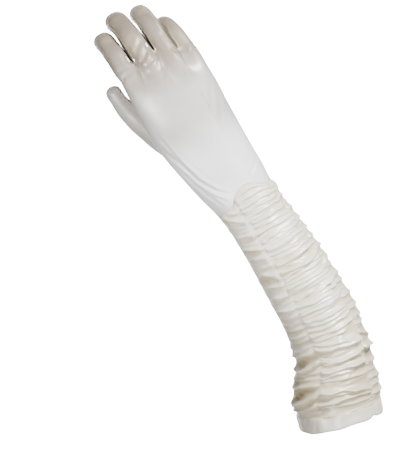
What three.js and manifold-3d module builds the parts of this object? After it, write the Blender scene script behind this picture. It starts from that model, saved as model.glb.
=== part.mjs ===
// A long satin glove for the right hand, as worn: a smooth hand with curled fingers, and a
// sleeve to the elbow whose back is gathered into folds along two rows of shirring elastic.
//
// Millimetres, +Z up. The origin is the middle of the arm opening. The sleeve rises along +Z,
// the back of the hand faces -Y, the fingers curl towards +Y and the thumb is on the -X side.
// Angles round the arm are in degrees from the back of the hand, and grow towards +X.

import * as THREE from "three";
import { mergeVertices } from "three/addons/utils/BufferGeometryUtils.js";
import Module from "manifold-3d";

const wasm = await Module();
wasm.setup();

// Cloth and seams
const WALL = 1.3; // satin with its seam allowance, measured square to the arm
const SEAM_GAP = 0.3; // between two pieces that are sewn together
const HEM_HEIGHT = 13; // the turned-up strip at the arm opening
const HEM_WALL = 1.7; // the strip is two layers thick
const HEM_FLARE = 0.5; // how far the strip stands out from the sleeve
const WRIST = 217; // height at which the sleeve meets the hand
const TAPE_WIDTH = 5; // shirring elastic
const TAPE_THICKNESS = 1;
const TAPE_CLEARANCE = 1.2; // between the elastic and the cloth, which touch only at the stitches
const TAPE_ROWS = 24;

// Gathered back of the sleeve
const SHIRRING_ANGLE = 38; // each row of elastic, from the middle of the gathered back
const PINCH = 0.4; // share of a fold's rise that is left on an elastic
const SAG = 2.5; // how far a fold hangs in the middle of the back, between the elastics
const CLIMB = 7; // how far a fold climbs from an elastic to the side seam
const CALM = 16; // length over which folds settle to level next to the hem and the wrist
const BACK_COLUMNS = 6; // facets across the middle of the back
const FLANK_COLUMNS = 3; // facets from an elastic to the side seam
const UNDERSIDE_COLUMNS = 10;
const UNDERSIDE_ROWS = 15;
const HEM_COLUMNS = 32;

// Hand
// Facets round the palm and a digit, outside and in their hollow. A multiple of 4 puts a facet edge on
// each side seam.
const PALM_SIDES = { outside: 24, hollow: 16 };
const DIGIT_SIDES = { outside: 12, hollow: 8 };
const MERGE_WITHIN = 1e-3; // vertices closer than this are one
const MARGIN = 0.4; // how far a cutting solid reaches beyond the cloth that it cuts

// Cross-sections of the arm and palm. at: height of the middle. x, y: the middle. lean: how far the
// arm leans towards +X there. width, depth: half sizes under the folds. square: 2 is an ellipse, more is
// boxier. turn: middle between the two elastics. seam: the side seams, each way from the back.
const SECTIONS = [
  { at: 0, x: 0, y: 0, lean: 12, width: 37.2, depth: 35.4, square: 2, turn: 6, seam: 97 },
  { at: 22, x: 5.6, y: 0, lean: 14, width: 37.6, depth: 35.6, square: 2, turn: 9, seam: 97 },
  { at: 42, x: 12, y: 0, lean: 12, width: 35.6, depth: 34.2, square: 2, turn: 10, seam: 98 },
  { at: 57, x: 18.5, y: 0, lean: 8, width: 33, depth: 32.4, square: 2, turn: 10, seam: 99 },
  { at: 72, x: 21.9, y: 0, lean: 3, width: 32, depth: 31.4, square: 2, turn: 10, seam: 100 },
  { at: 91, x: 23.2, y: 0, lean: 0, width: 32.2, depth: 30.4, square: 2, turn: 11, seam: 100 },
  { at: 113, x: 22.4, y: 0, lean: -3, width: 31.6, depth: 29.2, square: 2, turn: 14, seam: 100 },
  { at: 135, x: 21, y: 0, lean: -4, width: 30.9, depth: 27.8, square: 2, turn: 17, seam: 100 },
  { at: 157, x: 19.2, y: 0, lean: -6, width: 29.6, depth: 26, square: 2, turn: 19, seam: 99 },
  { at: 178, x: 16.9, y: 0, lean: -7, width: 28.3, depth: 23.8, square: 2, turn: 19, seam: 97 },
  { at: 200, x: 14, y: 0, lean: -8, width: 27.5, depth: 21.6, square: 2.05, turn: 17, seam: 94 },
  { at: 217, x: 11.5, y: 0, lean: -9, width: 28.4, depth: 20.2, square: 2.1, turn: 16, seam: 90 },
  { at: 235, x: 8.5, y: 0, lean: -9, width: 31, depth: 18.6, square: 2.2, turn: 0, seam: 90 },
  { at: 252, x: 5.7, y: 0, lean: -9, width: 32.8, depth: 17.2, square: 2.3, turn: 0, seam: 90 },
  { at: 270, x: 2.8, y: 0, lean: -7, width: 34.8, depth: 16.2, square: 2.3, turn: 0, seam: 90 },
  { at: 287, x: 0.3, y: 0, lean: -4, width: 36.4, depth: 15.4, square: 2.4, turn: 0, seam: 90 },
  { at: 304, x: -0.8, y: -0.4, lean: -1, width: 37, depth: 14.8, square: 2.5, turn: 0, seam: 90 },
  { at: 322, x: -1.2, y: -0.4, lean: 0, width: 36.8, depth: 14, square: 2.7, turn: 0, seam: 90 },
  { at: 336, x: -1.6, y: 0.6, lean: 2, width: 36.8, depth: 12.4, square: 3, turn: 0, seam: 90 },
  { at: 346, x: -2, y: 3, lean: 3, width: 36.6, depth: 11, square: 3.2, turn: 0, seam: 90 },
  { at: 358, x: -2.6, y: 7.2, lean: 9, width: 35.6, depth: 8.8, square: 3.4, turn: 0, seam: 90 },
];

// Main folds across the gathered back. at: height of the crest in the middle of the back. rise: how far
// it stands out there. thumb, little: its rise on the flank towards the thumb and the little finger.
const FOLDS = [
  { at: 209.5, rise: 1.6, thumb: 1.8, little: 1.2 },
  { at: 202.5, rise: 1.8, thumb: 1.2, little: 1.8 },
  { at: 196, rise: 2, thumb: 2.2, little: 2.4 },
  { at: 189, rise: 2.6, thumb: 1.6, little: 1.6 },
  { at: 180, rise: 2.4, thumb: 2.2, little: 2.6 },
  { at: 172.5, rise: 1.8, thumb: 2, little: 2 },
  { at: 165.5, rise: 2.2, thumb: 2.6, little: 2.8 },
  { at: 156, rise: 3, thumb: 1.8, little: 2 },
  { at: 146.5, rise: 3.2, thumb: 2.6, little: 2.8 },
  { at: 139.5, rise: 2.4, thumb: 2.2, little: 2.2 },
  { at: 132.5, rise: 2, thumb: 2.8, little: 2.6 },
  { at: 126.5, rise: 2.2, thumb: 1.8, little: 2 },
  { at: 119.5, rise: 2.4, thumb: 2.4, little: 3 },
  { at: 112, rise: 2.8, thumb: 2.6, little: 2.2 },
  { at: 104.5, rise: 2.6, thumb: 2, little: 2.8 },
  { at: 97.5, rise: 3, thumb: 2.8, little: 2.4 },
  { at: 90.5, rise: 2.4, thumb: 2.2, little: 3 },
  { at: 84, rise: 2.6, thumb: 3, little: 2.4 },
  { at: 75, rise: 3.6, thumb: 2.4, little: 2.8 },
  { at: 65, rise: 3.4, thumb: 3.8, little: 3 },
  { at: 56.5, rise: 2.8, thumb: 3.2, little: 3.6 },
  { at: 49.5, rise: 3.2, thumb: 3.6, little: 2.4 },
  { at: 42, rise: 3, thumb: 2.8, little: 3.2 },
  { at: 34, rise: 3.2, thumb: 3.6, little: 2.8 },
  { at: 26, rise: 2.8, thumb: 2.6, little: 3 },
  { at: 19, rise: 2, thumb: 1.8, little: 2 },
];

// Digits. x, y, z: the knuckle joint inside the palm. toX: sideways drift from the knuckle to the tip.
// lengths: bones from the knuckle to the tip of the glove. bends: how far each bone turns from +Z towards
// the palm. root, tip: radii. buried: length that reaches back into the palm.
const BENDS = [30, 63, 85];
const FINGERS = [
  { x: -28.8, y: 0.5, z: 341, toX: -7.5, lengths: [38, 25, 23], root: 9.6, tip: 8.8, buried: 10 },
  { x: -8.6, y: -0.5, z: 345, toX: -10.5, lengths: [43.5, 30, 24], root: 10.4, tip: 9.4, buried: 12 },
  { x: 11.4, y: -0.2, z: 343, toX: -9, lengths: [42.5, 28.5, 24], root: 9.3, tip: 8.8, buried: 12 },
  { x: 28.4, y: 1, z: 336, toX: -11.5, lengths: [36.3, 22, 21], root: 7.6, tip: 7.1, buried: 8 },
];
const DIGIT_SQUARE = 2.3; // 2 is an ellipse, more is boxier
const DIGIT_FLATTEN = 0.94; // a finger's depth over its width
const JOINT_BEND_LENGTH = 14; // length over which a joint turns
// The strip of cloth between two neighbouring fingers, from one finger round the crotch to the other
const FOURCHETTES = ["index_middle", "middle_ring", "ring_little"];
const FOURCHETTE_SPREAD = 32; // it covers this much of each finger's side, in degrees each way
const FOURCHETTE_START = 12; // from the knuckle, inside the crotch
const FOURCHETTE_END = 9; // it stops this far short of each fingertip
const FOURCHETTE_NARROWS = 0.35; // its width at the fingertip end
const FOURCHETTE_ROWS = 4;
const CROTCH = { wide: 13, deep: 8.4, high: 12 };

// Stations along the thumb: middle and radius. The first two lie inside the palm.
const THUMB = [
  { x: -14, y: 6, z: 262, radius: 13 },
  { x: -20, y: 10, z: 276, radius: 12.6 },
  { x: -27, y: 15, z: 290, radius: 12.2 },
  { x: -34.5, y: 19.5, z: 303, radius: 11.4 },
  { x: -40.5, y: 23, z: 316, radius: 10.4 },
  { x: -44.3, y: 25.5, z: 329, radius: 9.7 },
  { x: -45.6, y: 27, z: 338, radius: 9 },
  { x: -46, y: 28, z: 344, radius: 7.6 },
  { x: -46.1, y: 28.6, z: 348, radius: 5.4 },
  { x: -46.2, y: 29, z: 350.4, radius: 2.6 },
];

const radians = THREE.MathUtils.degToRad;
const { lerp, smoothstep } = THREE.MathUtils;

// Value of every column of a table at one height, on a smooth curve through the rows.
function sectionAt(height) {
  const last = SECTIONS.length - 1;
  let i = SECTIONS.findIndex((row) => row.at > height) - 1;
  if (i < 0) i = height < SECTIONS[0].at ? 0 : last - 1;
  const [before, low, high, after] = [i - 1, i, i + 1, i + 2].map(
    (k) => SECTIONS[THREE.MathUtils.clamp(k, 0, last)],
  );
  const span = high.at - low.at;
  const t = (height - low.at) / span;
  const section = {};
  for (const column of Object.keys(low)) {
    const startSlope = (high[column] - before[column]) / Math.max(high.at - before.at, span);
    const endSlope = (after[column] - low[column]) / Math.max(after.at - low.at, span);
    section[column] =
      (2 * t ** 3 - 3 * t ** 2 + 1) * low[column] +
      (t ** 3 - 2 * t ** 2 + t) * span * startSlope +
      (3 * t ** 2 - 2 * t ** 3) * high[column] +
      (t ** 3 - t ** 2) * span * endSlope;
  }
  return section;
}

const rounded = (value, square) => Math.sign(value) * Math.abs(value) ** (2 / square);

// A point on the arm or palm, at a height and an angle from the back of the hand, moved outwards.
function trunkPoint(height, angle, outwards) {
  const s = sectionAt(height);
  const a = radians(angle);
  const lean = radians(s.lean);
  const across = (s.width + outwards) * rounded(Math.sin(a), s.square);
  const y = s.y - (s.depth + outwards) * rounded(Math.cos(a), s.square);
  return new THREE.Vector3(s.x + across * Math.cos(lean), y, s.at - across * Math.sin(lean));
}

const steps = (count) => Array.from({ length: count + 1 }, (_, i) => i / count);

function geometryOf(vertices, triangles) {
  const geometry = new THREE.BufferGeometry();
  geometry.setAttribute(
    "position",
    new THREE.Float32BufferAttribute(vertices.flatMap((v) => v.toArray()), 3),
  );
  geometry.setIndex(triangles);
  return geometry;
}

// A closed skin over a row of rings, each a closed loop that runs anticlockwise seen from the last ring.
function loft(rings) {
  const around = rings[0].length;
  const vertices = rings.flat();
  const triangles = [];
  for (let r = 0; r + 1 < rings.length; r++)
    for (let c = 0; c < around; c++) {
      const [a, b] = [r * around + c, r * around + ((c + 1) % around)];
      triangles.push(a, b, a + around, b, b + around, a + around);
    }
  const cap = (ring, first, facing) => {
    const middle = new THREE.Vector3();
    ring.forEach((v) => middle.addScaledVector(v, 1 / around));
    vertices.push(middle);
    for (let c = 0; c < around; c++) {
      const [a, b] = [first + c, first + ((c + 1) % around)];
      triangles.push(vertices.length - 1, ...(facing > 0 ? [a, b] : [b, a]));
    }
  };
  cap(rings[0], 0, -1);
  cap(rings.at(-1), (rings.length - 1) * around, 1);
  return geometryOf(vertices, triangles);
}

// A wall between an outer and an inner grid of points, [row][column]: a strip, or a ring if closed.
function wall(outer, inner, closed = false) {
  const [rows, columns] = [outer.length, outer[0].length];
  const vertices = [...outer.flat(), ...inner.flat()];
  const lining = rows * columns;
  const triangles = [];
  const quad = (a, b, c, d) => triangles.push(a, b, c, a, c, d);
  const at = (r, c) => r * columns + (c % columns);
  const faces = closed ? columns : columns - 1;
  for (let r = 0; r + 1 < rows; r++) {
    for (let c = 0; c < faces; c++) {
      quad(at(r, c), at(r, c + 1), at(r + 1, c + 1), at(r + 1, c));
      quad(lining + at(r, c), lining + at(r + 1, c), lining + at(r + 1, c + 1), lining + at(r, c + 1));
    }
    if (!closed) {
      const end = columns - 1;
      quad(at(r, 0), at(r + 1, 0), lining + at(r + 1, 0), lining + at(r, 0));
      quad(at(r, end), lining + at(r, end), lining + at(r + 1, end), at(r + 1, end));
    }
  }
  for (let c = 0; c < faces; c++) {
    quad(at(0, c), lining + at(0, c), lining + at(0, c + 1), at(0, c + 1));
    quad(at(rows - 1, c), at(rows - 1, c + 1), lining + at(rows - 1, c + 1), lining + at(rows - 1, c));
  }
  return geometryOf(vertices, triangles);
}

// three.js geometry to a solid for cutting and joining, and back. What comes back is the largest piece
// of a cut, with no crumbs, and its vertices are merged.
function solid(geometry) {
  const plain = mergeVertices(geometry, MERGE_WITHIN);
  return new wasm.Manifold(
    new wasm.Mesh({
      numProp: 3,
      vertProperties: plain.getAttribute("position").array,
      triVerts: new Uint32Array(plain.index.array),
    }),
  );
}

function meshed(body) {
  const { vertProperties, triVerts } = body.getMesh();
  const geometry = new THREE.BufferGeometry();
  geometry.setAttribute("position", new THREE.Float32BufferAttribute(vertProperties, 3));
  geometry.setIndex(Array.from(triVerts));
  return geometry;
}

const largest = (bodies) => bodies.reduce((a, b) => (a.volume() > b.volume() ? a : b));
const cleaned = (body) => meshed(largest(solid(meshed(largest(body.decompose()))).decompose()));

const joined = (bodies) => bodies.reduce((whole, body) => whole.add(body));

// Places across the gathered back are shares: -2 and 2 are the side seams towards the thumb and the
// little finger, -1 and 1 are the two elastics, and 0 is half way between these.
function backAngle(height, share) {
  const { turn, seam, width } = sectionAt(height);
  const side = Math.sign(share);
  const elastic = turn + side * SHIRRING_ANGLE;
  if (Math.abs(share) <= 1) return turn + share * SHIRRING_ANGLE;
  const gap = THREE.MathUtils.radToDeg(SEAM_GAP / 2 / width);
  return lerp(elastic, side * (seam - gap), Math.abs(share) - 1);
}

// How far a fold stands out at a place across the back.
function foldRise(fold, share) {
  const side = Math.abs(share);
  if (side <= 1) return fold.rise * lerp(PINCH, 1, Math.cos((Math.PI / 2) * side) ** 0.6);
  const flank = share < 0 ? fold.thumb : fold.little;
  const fading = 1 - smoothstep(side, 1, 2);
  return fold.rise * PINCH * fading + flank * Math.sin(Math.PI * (side - 1)) ** 0.7;
}

// How far up the sleeve a fold lies there, compared with its place on the elastics.
function foldShift(height, share) {
  const side = Math.abs(share);
  const nearHem = smoothstep(height, HEM_HEIGHT, HEM_HEIGHT + CALM);
  const nearWrist = 1 - smoothstep(height, WRIST - CALM, WRIST);
  const shift = side <= 1 ? -SAG * (1 - side ** 2) : CLIMB * (side - 1) ** 1.5;
  return shift * nearHem * nearWrist;
}

// Rows of the gathered back: the two ends, and each crest with the valley above and below it.
function foldRows() {
  const top = WRIST - SEAM_GAP;
  const bottom = HEM_HEIGHT + SEAM_GAP;
  const flat = { rise: 0, thumb: 0, little: 0 };
  const rows = [{ height: top, fold: flat }];
  FOLDS.forEach((fold, i) => {
    const above = i ? (FOLDS[i - 1].at + fold.at) / 2 : (top + fold.at) / 2;
    rows.push({ height: above, fold: flat }, { height: fold.at, fold });
  });
  rows.push({ height: (bottom + FOLDS.at(-1).at) / 2, fold: flat }, { height: bottom, fold: flat });
  return rows.reverse();
}

function gatheredBack() {
  const shares = [
    ...steps(FLANK_COLUMNS).map((t) => lerp(-2, -1, t)),
    ...steps(BACK_COLUMNS).slice(1, -1).map((t) => lerp(-1, 1, t)),
    ...steps(FLANK_COLUMNS).map((t) => lerp(1, 2, t)),
  ];
  const grid = (inwards) =>
    foldRows().map(({ height, fold }) =>
      shares.map((share) => {
        const at = height + foldShift(height, share);
        return trunkPoint(at, backAngle(at, share), foldRise(fold, share) - inwards);
      }),
    );
  return wall(grid(0), grid(WALL));
}

// The plain side of the sleeve, between the side seams on the palm's side of the arm.
function underside() {
  const heights = steps(UNDERSIDE_ROWS).map((t) => lerp(HEM_HEIGHT + SEAM_GAP, WRIST - SEAM_GAP, t));
  const grid = (inwards) =>
    heights.map((height) => {
      const { seam, width } = sectionAt(height);
      const gap = THREE.MathUtils.radToDeg(SEAM_GAP / width);
      return steps(UNDERSIDE_COLUMNS).map((t) =>
        trunkPoint(height, lerp(seam + gap, 360 - seam - gap, t), -inwards),
      );
    });
  return wall(grid(0), grid(WALL));
}

function hemBand() {
  const grid = (outwards) =>
    [0, HEM_HEIGHT / 2, HEM_HEIGHT].map((height) =>
      steps(HEM_COLUMNS).slice(0, -1).map((t) => trunkPoint(height, 360 * t, outwards)),
    );
  return wall(grid(HEM_FLARE), grid(HEM_FLARE - HEM_WALL), true);
}

// A flat elastic inside the sleeve, behind one row of gathers. side: -1 towards the thumb, 1 away.
function shirringTape(side) {
  const heights = steps(TAPE_ROWS).map((t) => lerp(HEM_HEIGHT + 1, WRIST - 1, t));
  const grid = (inwards) =>
    heights.map((height) => {
      const half = THREE.MathUtils.radToDeg(TAPE_WIDTH / 2 / sectionAt(height).width);
      const middle = backAngle(height, side);
      return [middle - half, middle + half].map((angle) => trunkPoint(height, angle, -inwards));
    });
  const face = WALL + TAPE_CLEARANCE;
  return wall(grid(face), grid(face + TAPE_THICKNESS));
}

// Centre line of a digit: points with the direction they run in, from inside the palm to the tip.
function digitPath({ x, y, z, toX, lengths, buried }) {
  const total = lengths.reduce((sum, length) => sum + length);
  const bendAt = (s) => {
    let [joint, from, angle] = [0, 0, 0];
    lengths.forEach((length, i) => {
      const turned = smoothstep(s, joint - JOINT_BEND_LENGTH / 2, joint + JOINT_BEND_LENGTH / 2);
      angle += (BENDS[i] - from) * turned;
      joint += length;
      from = BENDS[i];
    });
    return angle;
  };
  const step = 0.5;
  const path = [];
  const point = new THREE.Vector3(x - (toX * buried) / total, y, z - buried);
  for (let s = -buried; s <= total; s += step) {
    const bend = radians(bendAt(s));
    const along = new THREE.Vector3(toX / total, Math.sin(bend), Math.cos(bend)).normalize();
    path.push({ s, point: point.clone(), along });
    point.addScaledVector(along, step);
  }
  return { total, at: (s) => path[Math.min(path.length - 1, Math.round((s + buried) / step))] };
}

// Rings of a digit. from, to: part of the way round, from its back; lift: how far the flat side of a
// part ring lies from the middle, towards the palm.
function digitRings(digit, { outwards = 0, from = 0, to = 360, lift = 0, shorten = 0 }) {
  const { total, at } = digitPath(digit);
  const whole = to - from === 360;
  const around = outwards < 0 ? DIGIT_SIDES.hollow : DIGIT_SIDES.outside;
  const sides = whole ? around : around / 2;
  const tipReach = digit.tip + outwards;
  const end = total + outwards - shorten;
  const knuckles = [digit.lengths[0], digit.lengths[0] + digit.lengths[1]];
  const stations = [-digit.buried, FOURCHETTE_START];
  for (const joint of knuckles) stations.push(joint - 4, joint + 5);
  const straight = stations.filter((s) => s < end - tipReach - 2);
  const dome = [0, 35, 65].map((angle) => end - tipReach * (1 - Math.sin(radians(angle))));
  return [...straight, ...dome].map((s) => {
    const { point, along } = at(Math.min(s, total));
    const beyond = Math.max(0, s - total);
    const fromTip = Math.max(0, tipReach - (end - s)) / tipReach;
    const radius =
      (lerp(digit.root, digit.tip, smoothstep(s, 0, total - digit.tip)) + outwards) *
      Math.sqrt(Math.max(0.02, 1 - fromTip ** 2));
    const back = new THREE.Vector3(0, -along.z, along.y).normalize();
    const across = new THREE.Vector3().crossVectors(along, back);
    const middle = point.clone().addScaledVector(along, beyond);
    return (whole ? steps(sides).slice(0, -1) : steps(sides)).map((t) => {
      const angle = radians(lerp(from, to, t));
      const edgeLift = whole || (t > 0 && t < 1) ? 0 : lift;
      return middle
        .clone()
        .addScaledVector(across, radius * rounded(Math.sin(angle), DIGIT_SQUARE))
        .addScaledVector(back, radius * DIGIT_FLATTEN * rounded(Math.cos(angle), DIGIT_SQUARE) - edgeLift);
    });
  });
}

const HAND_ROWS = SECTIONS.filter(({ at }) => at > WRIST).map(({ at }) => at);

// The palm, from the wrist to the knuckles: a solid of its outside or, moved inwards, of its hollow.
function palmSolid({ outwards = 0, from = 0, to = 360, lift = 0, below = 0 }) {
  const whole = to - from === 360;
  const around = outwards < 0 ? PALM_SIDES.hollow : PALM_SIDES.outside;
  const sides = whole ? around : around / 2;
  const heights = [WRIST - below, ...HAND_ROWS.slice(0, -1), HAND_ROWS.at(-1) + outwards];
  return solid(
    loft(
      heights.map((height) =>
        (whole ? steps(sides).slice(0, -1) : steps(sides)).map((t) => {
          const point = trunkPoint(height, lerp(from, to, t), outwards);
          if (!whole && (t === 0 || t === 1)) point.y += lift;
          return point;
        }),
      ),
    ),
  );
}

const digitSolid = (digit, options) => solid(loft(digitRings(digit, options)));

function thumbSolid(outwards) {
  const rings = THUMB.map(({ x, y, z, radius }, i) => {
    const [before, after] = [THUMB[Math.max(0, i - 1)], THUMB[Math.min(THUMB.length - 1, i + 1)]];
    const along = new THREE.Vector3(after.x - before.x, after.y - before.y, after.z - before.z).normalize();
    const back = new THREE.Vector3(0, -along.z, along.y).normalize();
    const across = new THREE.Vector3().crossVectors(along, back);
    const reach = Math.max(0.8, radius + outwards);
    const tipShift = i > THUMB.length - 4 ? outwards : 0;
    const sides = outwards < 0 ? DIGIT_SIDES.hollow : DIGIT_SIDES.outside;
    return steps(sides).slice(0, -1).map((t) => {
      const angle = 2 * Math.PI * t;
      return new THREE.Vector3(x, y, z)
        .addScaledVector(along, tipShift)
        .addScaledVector(across, reach * Math.sin(angle))
        .addScaledVector(back, reach * Math.cos(angle));
    });
  });
  return solid(loft(rings));
}

// The space that holds one fourchette: beside each of the two fingers, and round their crotch.
function fourchetteRegion(i, grow) {
  const [finger, next] = [FINGERS[i], FINGERS[i + 1]];
  const sideOf = (digit, towardsX) => {
    const { total, at } = digitPath(digit);
    const rings = steps(FOURCHETTE_ROWS).map((share) => {
      const ending = { 0: -grow, 1: grow }[share] ?? 0;
      const s = lerp(FOURCHETTE_START, total - FOURCHETTE_END, share) + ending;
      const { point, along } = at(s);
      const back = new THREE.Vector3(0, -along.z, along.y).normalize();
      const across = new THREE.Vector3().crossVectors(along, back);
      const radius = lerp(digit.root, digit.tip, smoothstep(s, 0, total - digit.tip));
      const narrowed = share < 1 ? 1 : FOURCHETTE_NARROWS;
      const half = radius * Math.sin(radians(FOURCHETTE_SPREAD)) * narrowed + grow;
      const [near, far] = [radius / 2 - grow, radius + MARGIN + grow].map((reach) => towardsX * reach);
      const corner = (sideways, depth) =>
        point.clone().addScaledVector(across, sideways).addScaledVector(back, depth);
      const ring = [corner(near, half), corner(near, -half), corner(far, -half), corner(far, half)];
      return towardsX > 0 ? ring.reverse() : ring;
    });
    return solid(loft(rings));
  };
  const end = SECTIONS.at(-1);
  const middle = (finger.x + next.x) / 2;
  const { wide, deep, high } = CROTCH;
  const crotch = new THREE.BoxGeometry(wide + 2 * grow, deep + 2 * grow, high + 2 * grow);
  crotch.deleteAttribute("normal");
  crotch.deleteAttribute("uv");
  crotch.rotateX(-radians(BENDS[0]));
  crotch.translate(middle, end.y, end.at - (middle - end.x) * Math.tan(radians(end.lean)));
  return joined([sideOf(finger, 1), sideOf(next, -1), solid(crotch)]);
}

// The hand: one wall round the palm and fingers, then cut along its seams.
function handPieces() {
  const outside = joined([palmSolid({}), ...FINGERS.map((digit) => digitSolid(digit, {}))]);
  const hollow = joined([
    palmSolid({ outwards: -WALL, below: 3 }),
    ...FINGERS.map((digit) => digitSolid(digit, { outwards: -WALL })),
  ]);
  const thumbHollow = thumbSolid(-WALL);
  const cloth = outside.subtract(hollow).subtract(thumbHollow);

  const backRegion = (lift) => {
    const part = { outwards: MARGIN + lift, from: -90, to: 90, lift };
    return joined([
      palmSolid({ ...part, below: 1 }),
      ...FINGERS.map((digit) => digitSolid(digit, part)),
    ]);
  };
  const strips = FOURCHETTES.map((_, i) => fourchetteRegion(i, SEAM_GAP / 2));
  const cutOut = (body) => strips.reduce((rest, strip) => rest.subtract(strip), body);
  const pieces = {
    back_of_hand: cutOut(cloth.intersect(backRegion(-SEAM_GAP / 2))),
    palm: cutOut(cloth.subtract(backRegion(SEAM_GAP / 2))),
    thumb: thumbSolid(0).subtract(thumbHollow).subtract(palmSolid({ outwards: SEAM_GAP })),
  };
  FOURCHETTES.forEach((name, i) => {
    pieces["fourchette_" + name] = cloth.intersect(fourchetteRegion(i, -SEAM_GAP / 2));
  });
  return pieces;
}

// Satin in warm white, and the elastic in plain white.
const satin = new THREE.MeshStandardMaterial({ color: 0xe6e2dc, roughness: 0.34, metalness: 0 });
const gatheredSatin = new THREE.MeshStandardMaterial({ color: 0xe8e2d6, roughness: 0.34, metalness: 0 });
const elastic = new THREE.MeshStandardMaterial({ color: 0xeeebe4, roughness: 0.8, metalness: 0 });

const glove = new THREE.Group();

function addPiece(name, geometry, material) {
  const mesh = new THREE.Mesh(geometry, material);
  mesh.name = name;
  glove.add(mesh);
}

for (const [name, body] of Object.entries(handPieces())) addPiece(name, cleaned(body), satin);
addPiece("sleeve_ruched_back", gatheredBack(), gatheredSatin);
addPiece("sleeve_underside", underside(), satin);
addPiece("hem_band", hemBand(), satin);
addPiece("shirring_elastic_thumb_side", shirringTape(-1), elastic);
addPiece("shirring_elastic_little_side", shirringTape(1), elastic);

export default glove;
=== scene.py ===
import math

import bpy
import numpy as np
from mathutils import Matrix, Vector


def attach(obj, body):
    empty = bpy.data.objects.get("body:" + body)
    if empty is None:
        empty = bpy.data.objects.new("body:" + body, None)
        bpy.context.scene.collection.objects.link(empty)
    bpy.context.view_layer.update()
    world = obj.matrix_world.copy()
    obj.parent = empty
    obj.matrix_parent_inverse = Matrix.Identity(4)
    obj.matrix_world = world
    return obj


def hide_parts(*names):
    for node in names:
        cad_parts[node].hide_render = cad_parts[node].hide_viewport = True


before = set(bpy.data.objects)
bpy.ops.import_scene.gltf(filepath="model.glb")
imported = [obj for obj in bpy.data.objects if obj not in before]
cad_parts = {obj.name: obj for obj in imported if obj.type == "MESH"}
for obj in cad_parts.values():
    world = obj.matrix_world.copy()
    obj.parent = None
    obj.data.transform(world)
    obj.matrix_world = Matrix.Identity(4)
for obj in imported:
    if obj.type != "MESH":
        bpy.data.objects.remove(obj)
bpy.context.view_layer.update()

# A long satin glove for the right hand: a smooth hand, and a sleeve whose back is gathered along two
# rows of elastic. Sizes are in millimetres and turned to metres where a mesh is made. The back of the
# hand faces -Y, the fingers curl towards +Y, and the thumb is on the -X side. Angles round the arm are
# in degrees from the back of the hand, and grow towards +X.

MM = 0.001

# Cloth
CLOTH = 0.5  # satin with a light backing
HEM_HEIGHT = 13.0  # top of the strip at the arm opening
WRIST = 217.0  # where the gathers end
SEAM_GROOVE = 0.45  # how deep a sewn seam sinks
SEAM_GROOVE_WIDTH = 0.8
SEAM_EDGE = 0.22  # the folded edge that stands up beside a seam
PUCKER_LENGTH = 3.1  # from one seam pucker to the next
PUCKER_RISE = 0.16
PUCKER_REACH = 3.2  # how far the puckers run out from a seam

# Cross-sections of the arm and palm, the same as the part's. at: height of the middle. x, y: the
# middle. lean: how far the arm leans towards +X. width, depth: half sizes under the folds. square: 2 is
# an ellipse, more is boxier. seam: the side seams, each way from the back.
SECTION_COLUMNS = ("at", "x", "y", "lean", "width", "depth", "square", "seam")
SECTIONS = np.array([
    (0, 0, 0, 12, 37.2, 35.4, 2, 97),
    (22, 5.6, 0, 14, 37.6, 35.6, 2, 97),
    (42, 12, 0, 12, 35.6, 34.2, 2, 98),
    (57, 18.5, 0, 8, 33, 32.4, 2, 99),
    (72, 21.9, 0, 3, 32, 31.4, 2, 100),
    (91, 23.2, 0, 0, 32.2, 30.4, 2, 100),
    (113, 22.4, 0, -3, 31.6, 29.2, 2, 100),
    (135, 21, 0, -4, 30.9, 27.8, 2, 100),
    (157, 19.2, 0, -6, 29.6, 26, 2, 99),
    (178, 16.9, 0, -7, 28.3, 23.8, 2, 97),
    (200, 14, 0, -8, 27.5, 21.6, 2.05, 94),
    (217, 11.5, 0, -9, 28.4, 20.2, 2.1, 90),
    (235, 8.5, 0, -9, 31, 18.6, 2.2, 90),
    (252, 5.7, 0, -9, 32.8, 17.2, 2.3, 90),
    (270, 2.8, 0, -7, 34.8, 16.2, 2.3, 90),
    (287, 0.3, 0, -4, 36.4, 15.4, 2.4, 90),
    (304, -0.8, -0.4, -1, 37, 14.8, 2.5, 90),
    (322, -1.2, -0.4, 0, 36.8, 14, 2.7, 90),
    (336, -1.6, 0.6, 2, 36.8, 12.4, 3, 90),
    (346, -2, 3, 3, 36.6, 11, 3.2, 90),
    (358, -2.6, 7.2, 9, 35.6, 8.8, 3.4, 90),
])

# The two rows of elastic: height, and angle from the back of the hand
ELASTIC_THUMB_SIDE = np.array([
    (13, -30), (22, -33), (34, -27.5), (42, -26), (56, -23.5), (64, -27), (74, -29.5), (90, -29),
    (104, -27), (124, -24), (134, -23), (145, -20.5), (171, -20.5), (181, -21.5), (199, -16),
    (210, -17.5), (217, -15),
])
ELASTIC_LITTLE_SIDE = np.array([
    (13, 40), (21, 45), (27, 47), (42, 49), (61, 48), (86, 48), (101, 49), (121, 57), (135, 56),
    (152, 60), (170, 64), (188, 62), (199, 62), (210, 56), (217, 51),
])

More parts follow.
